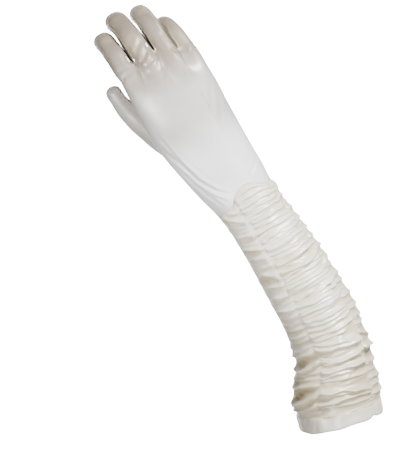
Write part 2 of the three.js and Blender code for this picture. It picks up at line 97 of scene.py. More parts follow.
# The fingers. x, y, z: the knuckle. to_x: how far the tip lies from it towards +X. lengths: of the three
# bones. root, tip: radii. buried: how far it starts inside the palm. crotch: how far up its side strips
# begin, on the thumb's side and on the other.
BENDS = (30, 63, 85)  # degrees that each bone leans forward
JOINT_BEND_LENGTH = 14
DIGIT_FLATTEN = 0.94
FINGERS = (
    dict(x=-28.8, y=0.5, z=341, to_x=-7.5, lengths=(38, 25, 23), root=9.6, tip=8.8, buried=10,
         crotch=(25, 22.3)),
    dict(x=-8.6, y=-0.5, z=345, to_x=-10.5, lengths=(43.5, 30, 24), root=10.4, tip=9.4, buried=12,
         crotch=(19.3, 19.6)),
    dict(x=11.4, y=-0.2, z=343, to_x=-9, lengths=(42.5, 28.5, 24), root=9.3, tip=8.8, buried=12,
         crotch=(22.1, 14.5)),
    dict(x=28.4, y=1, z=336, to_x=-11.5, lengths=(36.3, 22, 21), root=7.6, tip=7.1, buried=8,
         crotch=(22, 22)),
)
DIGIT_SQUARE = 2.3  # 2 is a round finger, more is boxier
FINGER_NAMES = ("index", "middle", "ring", "little")
FOURCHETTE_SPREAD = 32  # degrees each way on a finger's side
LITTLE_SPREAD = 54  # the same between the ring and little fingers, which part further
FOURCHETTE_END = 9  # short of the fingertip
STRIP_PUFF = 1.6  # how far the side strips bulge towards the next finger on the palm's side
CROTCH_ROUND = 7  # height of the rounded crotch between two fingers

# Stations along the thumb: x, y, z, radius
THUMB = np.array([
    (-14, 6, 262, 13), (-20, 10, 276, 12.6), (-27, 15, 290, 12.1), (-34.8, 19.5, 303, 11.0),
    (-41.6, 23, 316, 9.6), (-45.8, 25.5, 329, 8.4), (-47.4, 27, 338, 7.6), (-48, 28, 344, 7.2),
    (-48.2, 28.6, 349, 7.1), (-48.3, 29, 351.6, 7), (-48.3, 29.2, 352.6, 7),
])
THUMB_DOME = 8.0  # the thumb's tip is rounded off over this length
THUMB_SEAM = 62.0  # angle of the thumb's seam from its back
THUMB_TONE = 0.44


# Small tools

def lerp(a, b, t):
    return a + (b - a) * t


def smoothstep(x, low, high):
    t = np.clip((x - low) / (high - low), 0, 1)
    return t * t * (3 - 2 * t)


def unit(v):
    return v / np.maximum(np.linalg.norm(v, axis=-1, keepdims=True), 1e-9)


def bell(x, width, y=0.0, height=1.0):
    """1 in the middle, falling away smoothly over this width and height."""
    return np.exp(-((x / width) ** 2) - (y / height) ** 2)


def signed_power(v, power):
    return np.sign(v) * np.abs(v) ** power


def step_lengths(p, axis):
    return np.linalg.norm(np.diff(p, axis=axis), axis=-1)


def run_along(p, axis=0):
    """How far each point of a line or a grid lies from the first one along this axis."""
    run = np.cumsum(step_lengths(p, axis), axis)
    return np.concatenate([np.zeros_like(np.take(run, [0], axis)), run], axis)


def points_at(places, run, line):
    """Points of a line at these places along it."""
    return np.stack([np.interp(places, run, line[:, k]) for k in range(3)], -1)


def section(height):
    """Every column of the section table at these heights, on a smooth curve through its rows."""
    at = SECTIONS[:, 0]
    height = np.asarray(height, float)
    low = np.clip(np.searchsorted(at, height, "right") - 1, 0, len(at) - 2)
    before, high, after = np.maximum(low - 1, 0), low + 1, np.minimum(low + 2, len(at) - 1)
    span = at[high] - at[low]
    t = (height - at[low]) / span
    columns = {}
    for name, v in zip(SECTION_COLUMNS, SECTIONS.T):
        start = (v[high] - v[before]) / np.maximum(at[high] - at[before], span)
        end = (v[after] - v[low]) / np.maximum(at[after] - at[low], span)
        columns[name] = (
            (2 * t**3 - 3 * t**2 + 1) * v[low] + (t**3 - 2 * t**2 + t) * span * start
            + (3 * t**2 - 2 * t**3) * v[high] + (t**3 - t**2) * span * end
        )
    return columns


def trunk(height, angle, outwards=0.0):
    """Points on the arm or palm at a height and an angle from the back of the hand."""
    s = section(height)
    a, lean, power = np.radians(angle), np.radians(s["lean"]), 2 / s["square"]
    sine, cosine = np.sin(a), np.cos(a)
    across = (s["width"] + outwards) * signed_power(sine, power)
    y = s["y"] - (s["depth"] + outwards) * signed_power(cosine, power)
    return np.stack([s["x"] + across * np.cos(lean), y, s["at"] - across * np.sin(lean)], -1)


def on_face(angle, face):
    """An angle from the back of the hand or finger, mirrored to the palm's side for that face."""
    return angle if face == "back" else 180 - angle


def grid_normals(p):
    """Outward normals of a grid whose columns run anticlockwise round the arm and rows run upwards."""
    along = np.gradient(p, axis=0)
    across = np.gradient(p, axis=1)
    return unit(np.cross(across, along))


def distance_to_line(x, z, line):
    """Distance in the XZ plane from points to a line through a few points, and how far along it."""
    best = np.full(np.shape(x), 1e9)
    place = np.zeros(np.shape(x))
    run = 0.0
    for (ax, az), (bx, bz) in zip(line[:-1], line[1:]):
        length = math.hypot(bx - ax, bz - az)
        t = np.clip(((x - ax) * (bx - ax) + (z - az) * (bz - az)) / length**2, 0, 1)
        d = np.hypot(x - lerp(ax, bx, t), z - lerp(az, bz, t))
        nearer = d < best
        best = np.where(nearer, d, best)
        place = np.where(nearer, run + t * length, place)
        run += length
    return best, place / run


def soft_noise(p, size, seed):
    """Smooth swells of about one unit, with a few waves of about this size in every direction."""
    rng = np.random.default_rng(seed)
    total = np.zeros(p.shape[:-1])
    for _ in range(7):
        direction = unit(rng.normal(size=3)) * (2 * math.pi / (size * rng.uniform(0.7, 1.5)))
        total += np.sin(p @ direction + rng.uniform(0, 2 * math.pi))
    return total / 2.6


# Meshes

SAME_POINT = 1e-3  # points nearer than this are joined


def add_mesh(name, grids, material, thickness=CLOTH, flip=False):
    """One mesh object from grids of points in millimetres, each with its tone and painted shade and its
    place on the cloth, joined where they meet. The tone and painted shade pick the colour of the satin."""
    verts, faces, tone_and_painted_shade, uvs = [], [], [], []
    for grid, tone_and_shade, uv in grids:
        rows, columns = grid.shape[:2]
        first = sum(len(v) for v in verts)
        index = first + np.arange(rows * columns).reshape(rows, columns)
        quads = [index[:-1, :-1], index[:-1, 1:], index[1:, 1:], index[1:, :-1]]
        if flip:
            quads.reverse()
        faces.append(np.stack(quads, -1).reshape(-1, 4))
        verts.append(grid.reshape(-1, 3))
        tone_and_painted_shade.append(np.broadcast_to(tone_and_shade, (rows, columns)).reshape(-1))
        uvs.append(uv.reshape(-1, 2))
    verts, faces = np.concatenate(verts), np.concatenate(faces)
    tone_and_painted_shade, uvs = np.concatenate(tone_and_painted_shade), np.concatenate(uvs)
    keys = np.round(verts / SAME_POINT).astype(np.int64)
    _, keep, same = np.unique(keys, axis=0, return_index=True, return_inverse=True)
    same = same.reshape(-1)
    loops = [uvs[f] for f in faces]
    faces = same[faces]
    mesh = bpy.data.meshes.new(name)
    clean, clean_uv = [], []
    for f, uv in zip(faces.tolist(), loops):
        kept = [i for i in range(4) if f[i] != f[i - 1]]
        if len(kept) >= 3:
            clean.append([f[i] for i in kept])
            clean_uv.extend(uv[kept])
    mesh.from_pydata((verts[keep] * MM).tolist(), [], clean)
    tone = mesh.attributes.new("tone_and_painted_shade", "FLOAT", "POINT")
    tone.data.foreach_set("value", tone_and_painted_shade[keep].astype(np.float32))
    layer = mesh.uv_layers.new(name="cloth")
    layer.data.foreach_set("uv", np.array(clean_uv, np.float32).reshape(-1))
    mesh.polygons.foreach_set("use_smooth", [True] * len(mesh.polygons))
    mesh.materials.append(material)
    mesh.update()
    obj = bpy.data.objects.new(name, mesh)
    bpy.context.scene.collection.objects.link(obj)
    if thickness:
        solidify = obj.modifiers.new("cloth thickness", "SOLIDIFY")
        solidify.thickness = thickness * MM
        solidify.offset = -1
    return obj


def flat_uv(p):
    """Place on the cloth in centimetres: round the arm and along it."""
    return np.stack([run_along(p, 1), run_along(p, 0)], -1) / 10


def place_cloth(piece, node, strips):
    """Places a piece of satin. The strips it is given are not used."""
    place_piece(piece, node)


def place_piece(piece, node):
    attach(piece, "root")
    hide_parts(node)


# Materials

def linear(hex_colour):
    """sRGB hex colour to linear RGBA."""
    channels = [int(hex_colour[i : i + 2], 16) / 255 for i in (1, 3, 5)]
    return (*[c / 12.92 if c <= 0.04045 else ((c + 0.055) / 1.055) ** 2.4 for c in channels], 1)


def new_material(name):
    """A material, its node tree and shader, and the outputs that tell a place on the surface."""
    material = bpy.data.materials.new(name)
    material.use_nodes = True
    tree = material.node_tree
    shader = next(n for n in tree.nodes if n.type == "BSDF_PRINCIPLED")
    return material, tree, shader, add_node(tree, "ShaderNodeTexCoord").outputs


def add_node(tree, kind, settings=None, links=None):
    """Adds a node, gives its settings and input values, and links its inputs to other nodes' outputs."""
    node = tree.nodes.new(kind)
    for key, value in (settings or {}).items():
        if isinstance(key, str) and hasattr(node, key):
            setattr(node, key, value)
        else:
            node.inputs[key].default_value = value
    for key, source in (links or {}).items():
        tree.links.new(source, node.inputs[key])
    return node


def paint(tree, shader, factor, stops):
    """Colours the surface by a factor, through these stops."""
    ramp = add_node(tree, "ShaderNodeValToRGB", links={"Fac": factor})
    elements = ramp.color_ramp.elements
    while len(elements) < len(stops):
        elements.new(0.5)
    for element, (place, colour) in zip(elements, stops):
        element.position = place
        element.color = linear(colour)
    tree.links.new(ramp.outputs["Color"], shader.inputs["Base Color"])


def satin(name, tones, roughness):
    """Polyester satin, woven with long floats that lie along the cloth: a soft broad gloss over pearl
    white, with painted shade, darker and warmer, where the tone attribute asks for it."""
    material, tree, shader, at = new_material(name)
    # The attribute holds the cloth's tone together with its painted shade
    tone_and_painted_shade = add_node(tree, "ShaderNodeAttribute", {"attribute_name": "tone_and_painted_shade"})
    mottle = add_node(tree, "ShaderNodeTexNoise", {"Scale": 34, "Detail": 3, "Roughness": 0.5},
                      {"Vector": at["Object"]})
    tone = add_node(tree, "ShaderNodeMath", {"operation": "MULTIPLY_ADD", 1: 0.22, 2: -0.11},
                    {0: mottle.outputs["Fac"]})
    tone = add_node(tree, "ShaderNodeMath", {"operation": "ADD", "use_clamp": True},
                    {0: tone_and_painted_shade.outputs["Fac"], 1: tone.outputs[0]})
    paint(tree, shader, tone.outputs[0], tones)
    # Threads of a satin are about 0.1 mm apart, too fine to show, so they are drawn 0.9 mm apart
    weave = add_node(tree, "ShaderNodeTexWave",
                     {"wave_type": "BANDS", "bands_direction": "X", "Scale": 3.5, "Distortion": 1.5,
                      "Detail": 2, "Detail Scale": 3}, {"Vector": at["UV"]})
    slub = add_node(tree, "ShaderNodeTexNoise", {"Scale": 260, "Detail": 2, "Roughness": 0.6},
                    {"Vector": at["Object"]})
    threads = add_node(tree, "ShaderNodeBump", {"Strength": 0.05, "Distance": 0.0002},
                       {"Height": weave.outputs["Fac"]})
    bump = add_node(tree, "ShaderNodeBump", {"Strength": 0.1, "Distance": 0.0003},
                    {"Height": slub.outputs["Fac"], "Normal": threads.outputs["Normal"]})
    tree.links.new(bump.outputs["Normal"], shader.inputs["Normal"])
    gloss = add_node(tree, "ShaderNodeMapRange",
                     {"From Min": 0.3, "From Max": 0.7, "To Min": roughness - 0.04,
                      "To Max": roughness + 0.06}, {"Value": mottle.outputs["Fac"]})
    tree.links.new(gloss.outputs["Result"], shader.inputs["Roughness"])
    surface = {"IOR": 1.5, "Specular IOR Level": 0.8, "Coat Weight": 0.3, "Coat Roughness": 0.3,
               "Coat IOR": 1.5}
    for socket, value in surface.items():
        shader.inputs[socket].default_value = value
    return material


def elastic_webbing():
    """Knitted elastic tape: matt, with ribs along it."""
    material, tree, shader, at = new_material("knitted_elastic")
    ribs = add_node(tree, "ShaderNodeTexWave",
                    {"wave_type": "BANDS", "bands_direction": "Z", "Scale": 320}, {"Vector": at["Object"]})
    paint(tree, shader, ribs.outputs["Fac"], ((0.0, "#DDD8CC"), (1.0, "#F1EEE6")))
    bump = add_node(tree, "ShaderNodeBump", {"Strength": 0.4, "Distance": 0.0003},
                    {"Height": ribs.outputs["Fac"]})
    tree.links.new(bump.outputs["Normal"], shader.inputs["Normal"])
    shader.inputs["Roughness"].default_value = 0.85
    return material


def sewing_thread():
    """Twisted polyester thread, a little creamier than the satin."""
    material, tree, shader, at = new_material("sewing_thread")
    twist = add_node(tree, "ShaderNodeTexNoise", {"Scale": 900, "Detail": 1}, {"Vector": at["Object"]})
    paint(tree, shader, twist.outputs["Fac"], ((0.3, "#D2CABB"), (0.7, "#E9E4D8")))
    shader.inputs["Roughness"].default_value = 0.6
    return material


# The darker middle stops of the smooth satin carry the hand's darkening towards the fingers, partly
# painted shade. The last stop is the cream of the seams that bind the crotches
SMOOTH_SATIN = satin(
    "pearl_satin", ((0.0, "#E4E3E6"), (0.35, "#C2BCB7"), (0.7, "#988B7C"), (1.0, "#F0E0B8")), 0.4
)
# The darker stops of the gathered satin are painted shade in the fold valleys and the deepest hollows
GATHERED_SATIN = satin(
    "gathered_pearl_satin", ((0.0, "#E6E1D5"), (0.35, "#D3C8AC"), (1.0, "#8C7A4A")), 0.34
)
# A darker copy of the satin: painted shade for the slits between the fingers
SHADED_SATIN = satin("fourchette_shaded_satin", ((0.0, "#C4BCAD"), (0.5, "#857B68"), (1.0, "#453D2F")), 0.5)
THREAD = sewing_thread()


# The gathered back of the sleeve

ROWS, COLUMNS = 430, 109
SETTLE_STEPS = 16
SLACK = 0.02  # how much longer the cloth is than the folds it is first laid in
DROOP = 0.5  # how far the crests hang over the folds below them, for each millimetre they stand out
LOFT = 0.5  # the gathered cloth stands this far off the arm between the folds
ARM_BELOW = 1.0  # how far the arm lies inside the flat parts of the cloth
TUCK = 1.4  # how far the gathers reach under the hand's edge
HEM_TUCK = 0.9  # and under the hem's
CREST_ROUND = 0.18  # radius of a fold's crest
UPPER_FLANK, LOWER_FLANK = 1.3, 0.9  # a fold is steeper on its lower side
FLANK_SHAPE = 1.15  # 1 has the most hollow flanks, 2 is a bell
SHARPER, HIGHER = 0.75, 1.15  # the folds between the elastics, against their table
# Tone of the gathers: the cloth's own, more low down, and painted shade in the fold valleys and the
# hollows
TONE_OF_CLOTH, TONE_LOW_DOWN, SHADE_PAINTED_IN_FOLD, SHADE_PAINTED_IN_HOLLOW = 0.1, 0.2, 0.25, 0.37
HOLLOW_DEPTH = 0.8
THUMB_SIDE_FULLER = 1.2  # the folds on the thumb's side, against their table
# How strongly the threads keep their length up the sleeve, round it and slanting, and how fast their
# bends even out
KEEP_UP, KEEP_ROUND, KEEP_SLANT = 0.9, 0.5, 0.1
EASE_UP, EASE_ROUND = 0.03, 0.08

# The hand's lower edge: angle from the back of the hand, and height
WRIST_EDGE = np.array([
    (-180, 217), (-60, 217), (-25, 218), (-14, 224.4), (0, 227.8), (12, 228.2), (25, 225.4), (36, 221.6),
    (46, 218.6), (60, 217), (180, 217),
])

# Folds between the two elastics, from the wrist down. thumb, middle, little: height of the crest at the
# thumb's elastic, half way, and at the little finger's. rise: its height. wide: half width. start, end:
# how far it runs from the thumb's elastic (0) to the other (1).
MIDDLE_FOLDS = (
    # thumb, middle, little, rise, wide, start, end
    (221.5, 224.2, 215.5, 1.8, 1.8, 0, 1),
    (217.6, 218.4, 213, 1.5, 1.8, 0, 1),
    (214.3, 212.4, 209.4, 1.9, 1.5, 0, 1),
    (210.5, 207.8, 205, 1.6, 1.4, 0, 1),
    (207.4, 205, 202.5, 1.0, 1.2, 0.1, 0.8),
    (204.4, 203.0, 200, 1.6, 1.4, 0, 1),
    (201, 199.8, 197.5, 1.1, 1.3, 0, 0.6),
    (199, 195.8, 194.5, 2.2, 1.5, 0, 1),
    (193.5, 190.6, 187.4, 1.5, 2.4, 0, 1),
    (187.6, 186, 184, 1.7, 1.5, 0, 1),
    (182.6, 180.6, 180, 1.4, 2.2, 0.2, 1),
    (180, 179, 177, 1.5, 1.4, 0, 0.4),
    (177.6, 176.2, 175.6, 1.5, 2.4, 0.25, 1),
    (175, 173.4, 172, 1.4, 1.5, 0, 0.8),
    (171.5, 169.8, 168, 2.1, 1.6, 0, 1),
    (168.5, 165.4, 164, 1.3, 2.2, 0.2, 1),
    (166.4, 162.8, 158, 1.4, 1.3, 0, 0.55),
    (160, 159.2, 159, 1.5, 3.0, 0.1, 1),
    (155, 154.2, 154.4, 1.6, 1.3, 0, 1),
    (149, 146, 146.6, 2.5, 1.3, 0, 1),
    (147, 145, 145.4, 1.1, 1.2, 0.3, 1),
    (143.2, 143, 142.4, 1.7, 1.5, 0, 1),
    (140.4, 139, 139.5, 1.4, 1.4, 0, 1),
    (137, 135.2, 136, 1.5, 1.4, 0, 0.8),
    (133.8, 131.8, 132.5, 2.0, 1.4, 0, 1),
    (129.6, 128.3, 128.5, 1.5, 1.5, 0, 1),
    (125.5, 125, 124.6, 1.0, 2.0, 0.3, 1),
    (119.5, 118, 122.4, 2.0, 1.5, 0.45, 1),
    (121.4, 120.4, 118, 0.8, 2.0, 0, 0.4),
    (115, 115.4, 113.4, 1.7, 1.4, 0.45, 1),
    (114.8, 112.6, 110.5, 2.1, 1.5, 0, 0.8),
    (110.8, 108.7, 108, 1.7, 1.5, 0, 1),
    (107.5, 105.6, 106, 2.0, 1.5, 0, 1),
    (103.5, 101.6, 102.4, 1.4, 1.4, 0, 0.7),
    (101, 96.8, 97.2, 2.1, 1.5, 0, 1),
    (97, 92.6, 93.4, 1.8, 1.5, 0, 1),
    (91.8, 88.5, 90, 1.9, 1.8, 0, 1),
    (86.5, 83, 84, 2.0, 1.5, 0, 1),
    (82.4, 78.5, 79.4, 1.5, 1.7, 0, 0.8),
    (78.4, 72.2, 72, 2.5, 1.5, 0, 0.9),
    (74.4, 68.2, 67.6, 3.2, 1.6, 0, 1),
    (64.5, 62.5, 63.4, 1.0, 2.2, 0.25, 1),
    (65, 51, 37, 1.8, 1.1, 0, 0.2),
    (62, 49, 36, 1.8, 1.1, 0, 0.2),
    (59, 47, 35, 1.5, 1.1, 0, 0.22),
    (57, 57.6, 59, 3.0, 1.4, 0.15, 1),
    (51.6, 50.6, 51, 3.0, 1.5, 0, 1),
    (48.4, 46.8, 46, 1.6, 1.6, 0, 0.7),
    (43.5, 42.3, 41.4, 1.5, 1.7, 0, 1),
    (39.5, 38, 38.5, 0.9, 2.4, 0.3, 1),
    (34.6, 33.4, 27.6, 3.4, 1.5, 0, 1),
    (31.2, 30.2, 25.8, 1.7, 1.2, 0, 0.75),
    (24.6, 26.4, 25.6, 2.4, 1.6, 0, 1),
    (19.6, 20.4, 20, 1.0, 1.9, 0.3, 1),
)
# Folds beside the elastics: height of the crest at the elastic, half way to the side seam, and at the
# seam. reach: how far they run towards the seam (1).
THUMB_FOLDS = (
    # elastic, middle, seam, rise, wide, reach
    (211.5, 219, 226, 2.0, 1.5, 0.9),
    (203, 213.6, 222, 3.0, 1.8, 1),
    (199.6, 206.5, 214, 1.3, 1.3, 0.6),
    (196, 203.4, 209, 2.1, 1.5, 1),
    (192.5, 198.2, 203, 1.5, 1.3, 0.8),
    (189, 195, 200, 2.7, 1.6, 1),
    (186.4, 188.6, 192, 1.2, 1.4, 0.6),
    (180.5, 185.6, 189, 1.4, 1.3, 0.7),
    (175, 182.4, 187, 3.0, 1.6, 1),
    (167.6, 171.6, 177, 2.6, 1.6, 1),
    (163, 166, 170, 1.6, 1.5, 0.7),
    (158.6, 161.6, 165, 1.6, 1.9, 1),
    (150, 156, 159, 3.0, 1.6, 1),
    (144.4, 154.6, 160, 2.8, 1.5, 0.3),
    (138.8, 143, 147, 2.6, 1.7, 1),
    (134, 137, 140, 1.3, 1.4, 0.5),
    (128, 132, 135.4, 2.6, 1.8, 1),
    (122.4, 123, 128, 1.5, 1.3, 0.5),
    (115.5, 119.4, 124, 3.0, 1.6, 1),
    (109, 111.6, 115.4, 2.4, 1.8, 1),
    (103.6, 104, 108, 1.4, 2.0, 0.8),
    (96, 98, 101.6, 2.3, 1.5, 1),
    (89.4, 91.5, 95, 3.0, 1.6, 1),
    (85, 85.6, 88.4, 2.2, 1.6, 1),
    (78.4, 78, 80, 1.7, 2.0, 1),
    (73.2, 71.5, 71, 3.2, 2.8, 1),
    (62, 55.8, 56.6, 4.4, 1.3, 1),
    (53, 51, 50.6, 2.0, 1.9, 0.8),
    (46.6, 47.4, 46, 1.4, 1.5, 1),
    (41.2, 41, 38, 2.4, 1.5, 1),
    (34.6, 26.3, 28.4, 4.2, 1.3, 1),
    (24.6, 20.6, 20, 2.6, 1.6, 1),
    (18, 15.6, 15, 1.2, 1.5, 0.7),
)
LITTLE_FOLDS = (
    (214, 213, 212, 1.8, 1.6, 1),
    (209, 208.4, 208, 2.2, 1.8, 1),
    (203, 201.6, 201, 2.4, 1.9, 1),
    (196, 195.4, 194, 1.5, 1.6, 0.8),
    (189.6, 188.6, 188, 2.7, 2.2, 1),
    (184, 182.4, 182, 1.4, 1.4, 0.6),
    (178, 178.6, 178, 2.6, 2.0, 1),
    (172, 172.4, 172, 1.5, 1.5, 0.8),
    (167, 167.6, 167, 2.6, 2.0, 1),
    (159.6, 158.8, 158, 2.5, 2.2, 1),
    (154, 153, 152, 1.4, 1.4, 0.6),
    (148.6, 148.8, 149, 2.8, 2.0, 1),
    (142, 141.4, 141, 1.6, 1.5, 0.8),
    (135, 137, 138, 2.8, 2.4, 1),
    (131, 130, 129, 1.5, 1.5, 0.8),
    (122, 121, 120.6, 2.9, 2.3, 1),
    (115, 113.6, 113, 2.0, 1.7, 1),
    (108.6, 107.6, 107, 1.6, 1.6, 0.7),
    (103, 101.6, 101, 2.8, 2.2, 1),
    (97, 95.6, 95, 1.5, 1.5, 0.6),
    (91.6, 91, 91, 2.6, 2.0, 1),
    (84, 82.4, 82, 2.2, 1.9, 1),
    (77.6, 76.4, 76, 1.7, 1.6, 1),
    (71.4, 66, 62, 2.4, 1.5, 1),
    (60.4, 57.8, 56.6, 4.4, 1.5, 1),
    (47.6, 46.6, 46, 2.4, 1.9, 1),
    (41, 40.4, 40, 1.6, 1.6, 0.7),
    (35.4, 34.8, 34, 2.6, 1.9, 1),
    (28.8, 30, 30, 2.0, 1.6, 0.8),
    (23, 22.8, 23, 2.4, 1.9, 1),
    (17.4, 17, 17.4, 1.4, 1.5, 1),
)
WANDER, SWELL = 0.3, 0.16  # how far a fold's crest wanders, and how much its rise varies
# Small creases between the folds: how many, and the least and most of each one's reach, slope, curve,
# rise and half width
SMALL_CREASES = 150
CREASE_REACH, CREASE_SLOPE, CREASE_CURVE = (0.06, 0.2), (-14, 10), (-20, 20)
CREASE_RISE, CREASE_WIDE = (0.5, 1.2), (0.6, 0.9)
# A smaller crease runs beside some of the side folds: how often, how far off, how high and how wide
BESIDE_CHANCE, BESIDE_DISTANCE, BESIDE_RISE, BESIDE_WIDE = 0.6, (1.6, 2.6), 0.35, 0.7
PINCH_SPACING = 2.6  # between the small puckers along an elastic

# Hollows of the deepest folds, sunk and painted with shade, darker and warmer: share across the back,
# height, half sizes, how strongly sunk and shaded
HOLLOWS = (
    (-1.74, 58, 0.13, 3.0, 1.0),
    (-1.6, 60, 0.16, 3.6, 1.0),
    (-1.44, 62.6, 0.16, 3.8, 0.9),
    (-1.3, 66, 0.12, 2.8, 0.6),
    (-1.7, 27.8, 0.09, 2.2, 1.0),
    (-1.6, 29.8, 0.11, 2.6, 1.0),
    (-1.46, 33.4, 0.12, 2.6, 0.9),
    (-1.3, 36.8, 0.14, 2.0, 0.7),
    (-1.72, 44.5, 0.2, 2.6, 0.5),
    (1.5, 53, 0.3, 3.0, 0.75),
    (0.15, 150.4, 0.9, 2.4, 0.8),
    (-1.7, 148.6, 0.3, 3.0, 0.75),
    (-1.45, 146.4, 0.2, 2.4, 0.6),
    (-1.15, 153.4, 0.1, 1.4, 0.6),
    (-1.6, 178.4, 0.22, 3.0, 0.7),
    (-1.36, 176.8, 0.18, 2.2, 0.7),
    (-1.66, 211.6, 0.2, 3.4, 0.45),
    (-1.6, 114.4, 0.3, 2.6, 0.6),
    (-1.66, 96.2, 0.2, 1.2, 0.9),
    (-1.4, 94.4, 0.2, 1.2, 0.8),
    (-1.6, 87.8, 0.3, 1.8, 0.55),
    (-1.4, 82.4, 0.4, 1.8, 0.45),
    (-0.35, 198, 0.4, 1.6, 0.4),
    (0.55, 191, 0.5, 1.8, 0.4),
    (0.5, 117.4, 0.3, 1.2, 0.5),
    (0.3, 53.2, 0.8, 1.6, 0.5),
    (0.0, 38, 0.6, 2.8, 0.5),
    (0.4, 29.4, 0.6, 1.4, 0.7),
    (-0.5, 122, 0.5, 3.6, 0.2),
    (1.3, 134, 0.3, 2.4, 0.3),
)


def elastic_angle(height, line):
    return np.interp(height, line[:, 0], line[:, 1])


def back_angle(height, share):
    """Shares run from -2 at the thumb's side seam, over -1 and 1 at the elastics, to 2 at the other."""
    low, high = elastic_angle(height, ELASTIC_THUMB_SIDE), elastic_angle(height, ELASTIC_LITTLE_SIDE)
    seam = section(height)["seam"]
    middle = lerp(low, high, (share + 1) / 2)
    left = lerp(-seam, low, share + 2)
    right = lerp(high, seam, share - 1)
    return np.where(share < -1, left, np.where(share > 1, right, middle))


def wrist_height(angle):
    """Where the hand's cloth is joined to the gathers."""
    angle = (np.asarray(angle, float) + 180) % 360 - 180
    near = [np.interp(angle + shift, WRIST_EDGE[:, 0], WRIST_EDGE[:, 1]) for shift in (-4, -2, 0, 2, 4)]
    return np.mean(near, 0)


def fold_ridge(height, crest, wide):
    """A crest with a small radius and hollow flanks, steeper below."""
    d = height - crest
    wide = np.where(d > 0, wide * UPPER_FLANK, wide * LOWER_FLANK)
    return np.exp(-((np.hypot(d, CREST_ROUND) - CREST_ROUND) / wide) ** FLANK_SHAPE)


def along_fold(t, start, middle, end):
    """Height of a crest that passes through three heights, at t = 0, 0.5 and 1."""
    return start + (4 * middle - 3 * start - end) * t + (2 * start + 2 * end - 4 * middle) * t**2


def waver(rng, t, size):
    """A gentle wander along a fold."""
    return size * (
        np.sin(2 * math.pi * (rng.uniform(0.8, 1.6) * t + rng.uniform()))
        + 0.5 * np.sin(2 * math.pi * (rng.uniform(2, 4) * t + rng.uniform()))
    )


def middle_folds(height, t):
    """Relief between the elastics, from the thumb's (0) to the other (1)."""
    rng = np.random.default_rng(3)
    total = np.zeros(np.broadcast(height, t).shape)
    for thumb, middle, little, rise, wide, start, end in MIDDLE_FOLDS:
        crest = along_fold(t, thumb, middle, little) + waver(rng, t, WANDER)
        swell = 1 + waver(rng, t, SWELL)
        begin = smoothstep(t, start - 0.1, start + 0.12) if start > 0 else 1
        finish = 1 - smoothstep(t, end - 0.12, end + 0.1) if end < 1 else 1
        total += rise * swell * HIGHER * fold_ridge(height, crest, wide * SHARPER) * begin * finish
    # Short slanting creases between the long folds
    for _ in range(SMALL_CREASES):
        at, place = rng.uniform(HEM_HEIGHT + 6, WRIST + 4), rng.uniform(0.0, 1.0)
        reach, slope = rng.uniform(*CREASE_REACH), rng.uniform(*CREASE_SLOPE)
        crest = at + slope * (t - place) + rng.uniform(*CREASE_CURVE) * (t - place) ** 2
        rise, wide = rng.uniform(*CREASE_RISE), rng.uniform(*CREASE_WIDE)
        total += rise * fold_ridge(height, crest, wide) * bell(t - place, reach)
    return total


def side_folds(height, t, rows, seed):
    """Relief beside an elastic, from it (0) to the side seam (1). The folds are broader and lower at the
    sleeve's outline."""
    rng = np.random.default_rng(seed)
    total = np.zeros(np.broadcast(height, t).shape)
    for elastic, middle, seam, rise, wide, reach in rows:
        crest = along_fold(t, elastic, middle, seam) + waver(rng, t, WANDER)
        finish = 1 - smoothstep(t, reach - 0.25, reach + 0.1) if reach < 1 else 1
        outline = smoothstep(t, 0.45, 0.9)
        ridge = fold_ridge(height, crest, wide * lerp(0.85, 1.3, outline))
        total += rise * lerp(1, 0.8, outline) * (1 + waver(rng, t, 0.12)) * ridge * finish
        if rng.uniform() < BESIDE_CHANCE:
            crest = crest - rng.uniform(*BESIDE_DISTANCE) + rng.uniform(-1, 1) * t
            beside = BESIDE_RISE * rise * fold_ridge(height, crest, BESIDE_WIDE)
            total += beside * (1 - smoothstep(t, 0.25, 0.7))
    return total


def pull(x, free, a, b, rest, stiffness):
    """Moves the two ends of each thread towards its rest length."""
    d = x[b] - x[a]
    length = np.linalg.norm(d, axis=-1) + 1e-9
    shift = stiffness * (length - rest) / length / np.maximum(free[a] + free[b], 1e-9)
    d *= shift[..., None]
    x[a] += free[a][..., None] * d
    x[b] -= free[b][..., None] * d


def settle(x, free, rest_up, rest_round, arm, normal, steps):
    """Eases the gathered cloth in its folds: threads keep their length, sharp bends even out, and the
    arm inside holds the cloth out."""
    rows, columns = free.shape
    slant = np.sqrt(rest_up[:, :-1] ** 2 + rest_round[:-1] ** 2)
    for _ in range(steps):
        for p in (0, 1):
            low, high = slice(p, rows - 1, 2), slice(p + 1, rows, 2)
            pull(x, free, (low,), (high,), rest_up[low], KEEP_UP)
            pull(x, free, (low, slice(0, -1)), (high, slice(1, None)), slant[low], KEEP_SLANT)
            pull(x, free, (low, slice(1, None)), (high, slice(0, -1)), slant[low], KEEP_SLANT)
            left = (slice(None), slice(p, columns - 1, 2))
            right = (slice(None), slice(p + 1, columns, 2))
            pull(x, free, left, right, rest_round[left], KEEP_ROUND)
        for axis, weight in ((0, EASE_UP), (1, EASE_ROUND)):
            v = np.moveaxis(x, axis, 0)
            bend = np.zeros_like(v)
            bend[1:-1] = (v[:-2] + v[2:]) / 2 - v[1:-1]
            ease = np.zeros_like(v)
            ease[1:-1] = (bend[:-2] + bend[2:]) / 2 - bend[1:-1]
            x -= weight * np.moveaxis(ease, 0, axis) * free[..., None]
        inside = np.minimum(((x - arm) * normal).sum(-1), 0)
        x -= (inside * (free > 0))[..., None] * normal
    return x


